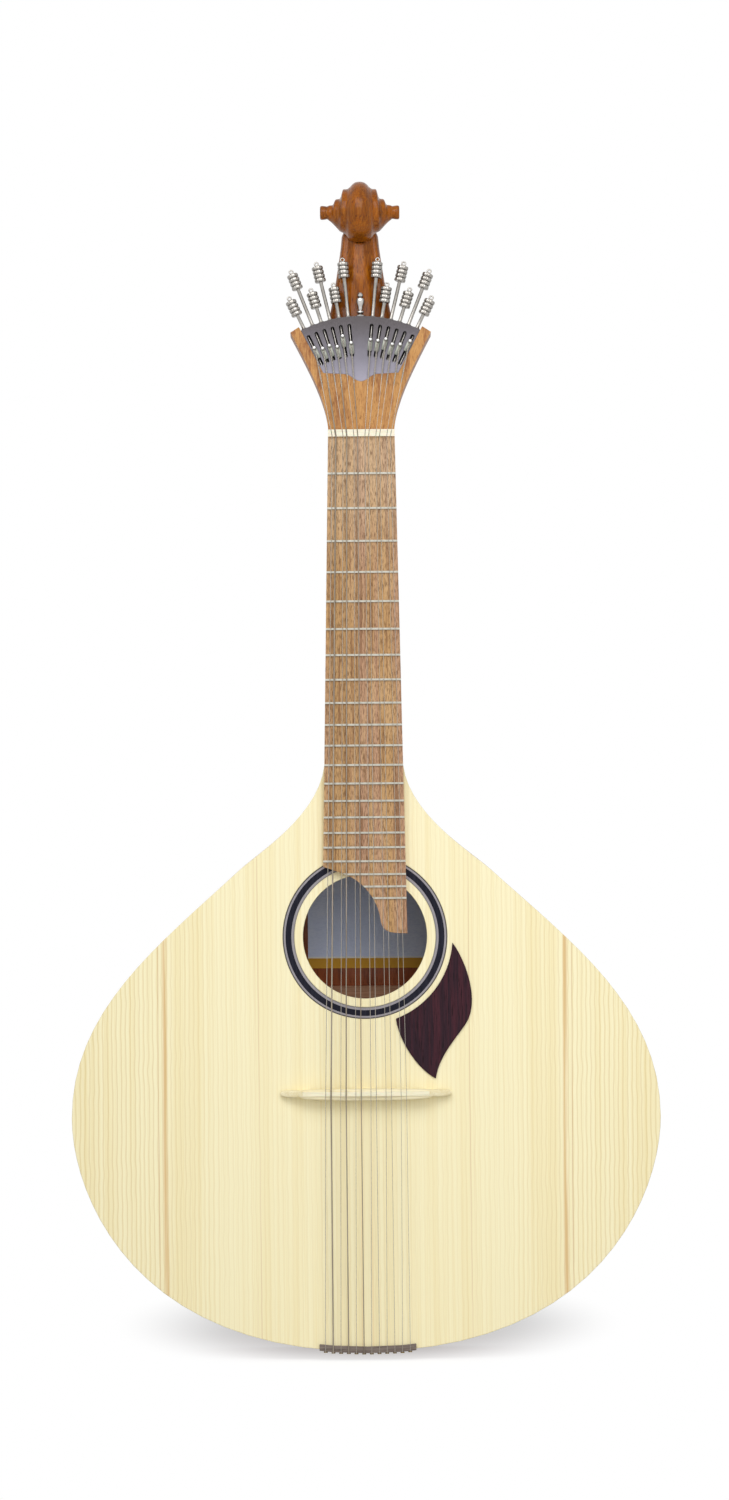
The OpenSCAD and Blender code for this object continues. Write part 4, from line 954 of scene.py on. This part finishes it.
class GUITAR_OT_machine(GuitarOperator):
    """Plate, frame, screws, finial, tuners and hooks of the tuning machine."""
    bl_idname = "guitar.machine"
    bl_label = "Tuning machine"

    def execute(self, context):
        metals, sizes = context.scene.guitar_metals, context.scene.guitar_machine
        dress(machine_plate_metal(metals.plate), "machine_plate")
        # the frame is painted nearly black within 5 mm of its corners: painted shade inside the frame
        dress(plated("frame_milled_nickel", linear("#6F6963"), "#57524F", "#1A181A", 0.4, 5.0), "machine_frame")
        dress(plated("screw_turned_steel", linear("#B8B0A0"), "#9A9284", "#3A3630", 0.3), "frame_screws")
        bright = plated("knob_plated_nickel", metals.nickel, "#98938C", "#3B3733", 0.24, 0.8, 0.28)
        dress(plated("finial_turned_nickel", linear("#D2CFCC"), "#B4B0AC", "#45413D", 0.16, 1.6), "finial")
        # the ball is a brighter and the slider a darker copy of the hook's one nickel: painted highlight and painted
        # shade
        ball = plated("hook_ball_polished_painted_highlight", linear("#F4F4F2"), "#E6E6E4", "#8E8A84", 0.12, 0.5)
        slide = plated("hook_slide_painted_shade", linear("#93958C"), "#7D7F76", "#34332F", 0.38, 1.0)
        for i in range(12):
            self.tuner(i, bright, sizes)
            self.hook(i, ball, slide)
        return {"FINISHED"}

    def tuner(self, i, metal, sizes):
        """Rod with its thread, stem with two collars, beaded knob and eyelet."""
        u, v, w = tuner_axes(i)
        foot = on_tuner(i, 0, ROD_Y, 0)
        turns = int(round((RIM_LOW - 0.9 - FOOT_TOP - 0.2) * MM / sizes.thread))
        n = 16
        shape = Shape()

        def lathe(profile, sides):
            shape.skin([ring(foot + w * (h * MM), u, v, r * MM, sides) for r, h in profile])

        lathe(((0.8, FOOT_LOW + 0.3), (0.8, FOOT_TOP + 0.2)), 16)
        rows = []
        for k in range(turns * 4 + 1):
            z = (FOOT_TOP + 0.2) * MM + k * sizes.thread / 4
            rows.append([foot + w * z + (ROD_R * MM - sizes.thread_depth
                                         * (0.5 - 0.5 * math.cos(TAU * (k / 4 - m / n))))
                         * (math.cos(TAU * m / n) * u + math.sin(TAU * m / n) * v) for m in range(n)])
        shape.skin(rows)
        low = FAN_R + (LONG_REACH if fan_rank(i) % 2 == 0 else SHORT_REACH) - KNOB_H / 2
        lathe(((1.3, RIM_LOW - 0.9), (1.6, RIM_LOW - 0.7), (1.6, RIM_LOW - 0.4), (1.3, RIM_LOW - 0.2)), 24)
        lathe(((STEM_R, RIM_LOW - 0.2), (STEM_R, FAN_R + 0.2)), 24)
        lathe(((1.6, FAN_R + 0.2), (1.9, FAN_R + 0.45), (1.9, FAN_R + 0.95), (1.5, FAN_R + 1.2)), 24)
        lathe(((STEM_R, FAN_R + 1.2), (STEM_R, low - 0.5), (1.5, low - 0.1), (1.5, low + 0.4)), 24)
        count = sizes.teeth * 4
        tooth = sizes.tooth_depth / MM
        for b in range(KNOB_BANDS):
            z = low + b * (BAND_H + GROOVE_H)
            rows = []
            for h, r, share in ((-0.15, 3.1, 0), (-0.1, KNOB_R - 0.35, 0.3), (0.25, KNOB_R - 0.05, 0.8),
                                (1.05, KNOB_R, 1), (1.85, KNOB_R - 0.05, 0.8), (2.2, KNOB_R - 0.35, 0.3),
                                (2.25, 3.1, 0)):
                rows.append([foot + w * ((z + h) * MM)
                             + (r - share * tooth * (0.5 + 0.5 * math.cos(TAU * m / 4))) * MM
                             * (math.cos(TAU * m / count) * u + math.sin(TAU * m / count) * v)
                             for m in range(count)])
            shape.skin(rows)
            if b < KNOB_BANDS - 1:
                lathe(((3.0, z + BAND_H - 0.1), (3.0, z + BAND_H + GROOVE_H + 0.1)), 36)
        top = low + KNOB_H
        lathe(((2.9, top), (2.6, top + 0.18), (1.7, top + 0.25), (1.2, top + 0.5)), 36)
        eye = foot + w * ((top + 0.5 + 1.2 + 0.3) * MM)
        loop = [eye + 1.2 * MM * (math.sin(TAU * k / 24) * u - math.cos(TAU * k / 24) * w) for k in range(24)]
        rows = []
        for k, here in enumerate(loop):
            out = (here - eye).normalized()
            rows.append(ring(here, out, v, 0.5 * MM, 10))
        rows.append(rows[0])
        shape.skin(rows, caps=False)
        made = piece(f"tuner_turned_{i + 1}", shape, [metal], f"tuner_{i + 1}", 50)
        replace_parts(made, f"tuner_{i + 1}")

    def hook(self, i, ball, slide):
        """Nut block on the rod, slider with rounded ends, post and round head."""
        u, v, w = tuner_axes(i)
        c = ball_at(i) - 3.25
        shape = Shape()

        def bar(half_x, y0, y1, low, high, cut, mark=1):
            """A bar with chamfered corners, drawn across and along, from y0 to y1."""
            outline = []
            for sx, sr in ((1, 1), (-1, 1), (-1, -1), (1, -1)):
                mid_x, mid_r = sx * (half_x - cut), (high - cut if sr > 0 else low + cut)
                for k in range(4):
                    a = math.radians(30 * k if (sx * sr > 0) else 90 - 30 * k)
                    outline.append((mid_x + sx * cut * math.cos(a), mid_r + sr * cut * math.sin(a)))
            rows = []
            for y, inset in ((y0, 0.15), (y0 + 0.15, 0.0), (y1 - 0.15, 0.0), (y1, 0.15)):
                rows.append([on_tuner(i, x * (1 - inset / half_x), y, (low + high) / 2 + (r - (low + high) / 2)
                                      * (1 - 2 * inset / (high - low))) for x, r in outline])
            shape.skin(rows, mark)

        bar(1.5, PLATE_BACK + 0.3, 2.9, c - 3.5, c + 3.5, 0.3)
        for side in (-1, 1):
            rows = [[on_tuner(i, side * x, y, r) for x, y in ((1.06, 2.9), (1.5, 2.9), (1.5, 5.1), (1.06, 5.1))]
                    for r in (c - 3.5, c + 3.5)]
            shape.skin(rows, 1)
        bar(1.5, 5.1, FRAME_FLOOR - 0.3, c - 3.5, c + 3.5, 0.3)
        bar(SLOT_W / 2 - 0.15, SLIDER_FRONT + 0.5, PLATE_BACK + 0.35, c - 2.7, c + 2.7, 0.3)
        bar(1.55, SLIDER_FRONT, SLIDER_FRONT + 1.0, ball_at(i) - 7.5, ball_at(i) + 1.0, 0.9)
        centre = on_tuner(i, 0, SLIDER_FRONT - HEAD_OUT, ball_at(i))
        shape.skin([ring(centre + v * (d * MM), u, w, 0.75 * MM, 20) for d in (0.4, HEAD_OUT + 0.2)], 1)
        n = 14
        shape.skin([ring(centre - v * (BALL_R * math.cos(math.pi * k / n) * MM), u, w,
                         max(0.004, BALL_R * math.sin(math.pi * k / n)) * MM, 28) for k in range(n + 1)], 0)
        made = piece(f"hook_turned_{i + 1}", shape, [ball, slide], f"hook_{i + 1}", 45)
        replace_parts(made, f"hook_{i + 1}")


class GUITAR_OT_strings(GuitarOperator):
    """Twelve strings with twisted loops at the hooks and loops round the tail pins."""
    bl_idname = "guitar.strings"
    bl_label = "Strings"

    def execute(self, context):
        metals, sizes = context.scene.guitar_metals, context.scene.guitar_strings
        plain = drawn_wire("string_plain_steel", metals.steel, "#A39A8B")
        wound = winding("string_wound_bronze", metals.bronze, "#6E6357", 0.6)
        for i in range(12):
            r = string_r(i)
            a = fan_angle(i)
            reach = ball_at(i) - BALL_R - 0.3
            top = head(reach * math.sin(a), SLIDER_FRONT - r - 0.15, reach * math.cos(a))
            nut_x, saddle_x = course_x(i, NUT_SPACING), course_x(i, SADDLE_SPACING)
            tail_x = (i - 5.5) * TAIL_PITCH
            nut = tail(nut_x, -BOARD_T - NUT_RISE + 0.5 + camber(nut_x), NUT_Z)
            start = top + (nut - top).normalized() * sizes.twist
            face, edge = -TAIL_PROUD - r - REST, tail_edge(tail_x)
            lip = edge - TAIL_LIP - r - 2 * REST
            path = [start + (top - start).normalized() * 1.2 * MM, start, nut,
                    tail(saddle_x, -STRING_H + BASS_R - r + camber(saddle_x), SADDLE_Z - SADDLE_T / 2),
                    tail(tail_x, face, edge + TAIL_FACE + 0.8), tail(tail_x, face, lip + 0.4),
                    tail(tail_x, face + 0.12, lip + 0.12), tail(tail_x, face + 0.4, lip),
                    tail(tail_x, TAIL_LIP_D + 0.5, lip), tail(tail_x, PIN_Y - PIN_R - r - REST, lip + 0.2)]
            loop = PIN_R + r + REST
            path += [tail(tail_x + loop * math.sin(TAU * k / 16), PIN_Y - loop * math.cos(TAU * k / 16),
                          lip + 0.2 + 0.03 * k) for k in range(1, 17)]
            shape = Shape()
            shape.skin(tube(path, r * MM, sizes.sides))
            self.twist(shape, i, start, top, sizes)
            made = piece(f"string_{i + 1}", shape, [wound if i in WOUND else plain, plain], None, 60)
            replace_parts(made, f"course_{i // 2 + 1}")
            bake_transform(made)
        return {"FINISHED"}

    def twist(self, shape, i, start, top, sizes):
        """One strand up to the hook, round its post and back, wound about itself."""
        across, behind, along = tuner_axes(i)
        up = (top - start).normalized()
        u = behind.cross(up).normalized()
        v = up.cross(u)
        run = (top - start).length
        steps = int(run / sizes.pitch * 14)
        spread = sizes.strand * 1.15

        def strand(k, phase):
            s = k / steps
            wide = spread * min(1.0, 0.15 + 8 * s)
            a = TAU * s * run / sizes.pitch + phase
            return start + up * (run * s) + wide * (math.cos(a) * u + math.sin(a) * v)

        post = on_tuner(i, 0, 0, ball_at(i))
        post += behind * (top - post).dot(behind)
        rising = [strand(k, 0.0) for k in range(steps + 1)]
        falling = [strand(k, math.pi) for k in range(steps, -1, -1)]
        side = 1 if (rising[-1] - post).dot(across) > 0 else -1
        turn = [post + 1.0 * MM * (side * math.cos(a) * across + math.sin(a) * along)
                for a in [math.radians(-50 + 20 * k) for k in range(15)]]
        shape.skin(tube(rising + turn + falling, sizes.strand, 8), 1)


class GUITAR_PT_panel(Panel):
    """Lists the guitar's steps in the sidebar."""
    bl_idname = "GUITAR_PT_panel"
    bl_label = "Guitar"
    bl_space_type = "VIEW_3D"
    bl_region_type = "UI"
    bl_category = "Guitar"

    def draw(self, context):
        for operator in OPERATORS:
            self.layout.operator(operator.bl_idname)
        for name in GROUPS:
            group = getattr(context.scene, name)
            box = self.layout.box()
            for key in group.bl_rna.properties.keys():
                if key not in ("rna_type", "name"):
                    box.prop(group, key)


GROUPS = {"guitar_woods": GuitarWoods, "guitar_metals": GuitarMetals, "guitar_strings": GuitarStrings,
          "guitar_machine": GuitarMachine, "guitar_stage": GuitarStage}
OPERATORS = (GUITAR_OT_stage, GUITAR_OT_body, GUITAR_OT_neck, GUITAR_OT_scroll, GUITAR_OT_bridge,
             GUITAR_OT_machine, GUITAR_OT_strings)


def register():
    for cls in (*GROUPS.values(), *OPERATORS, GUITAR_PT_panel):
        bpy.utils.register_class(cls)
    for name, cls in GROUPS.items():
        setattr(bpy.types.Scene, name, PointerProperty(type=cls))


def unregister():
    for name in GROUPS:
        delattr(bpy.types.Scene, name)
    for cls in (GUITAR_PT_panel, *OPERATORS[::-1], *GROUPS.values()):
        bpy.utils.unregister_class(cls)


def main():
    """Register the add-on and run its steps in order."""
    register()
    bpy.context.scene.view_settings.view_transform = "Standard"
    for operator in OPERATORS:
        group, name = operator.bl_idname.split(".")
        getattr(getattr(bpy.ops, group), name)()


if __name__ == "__main__":
    main()
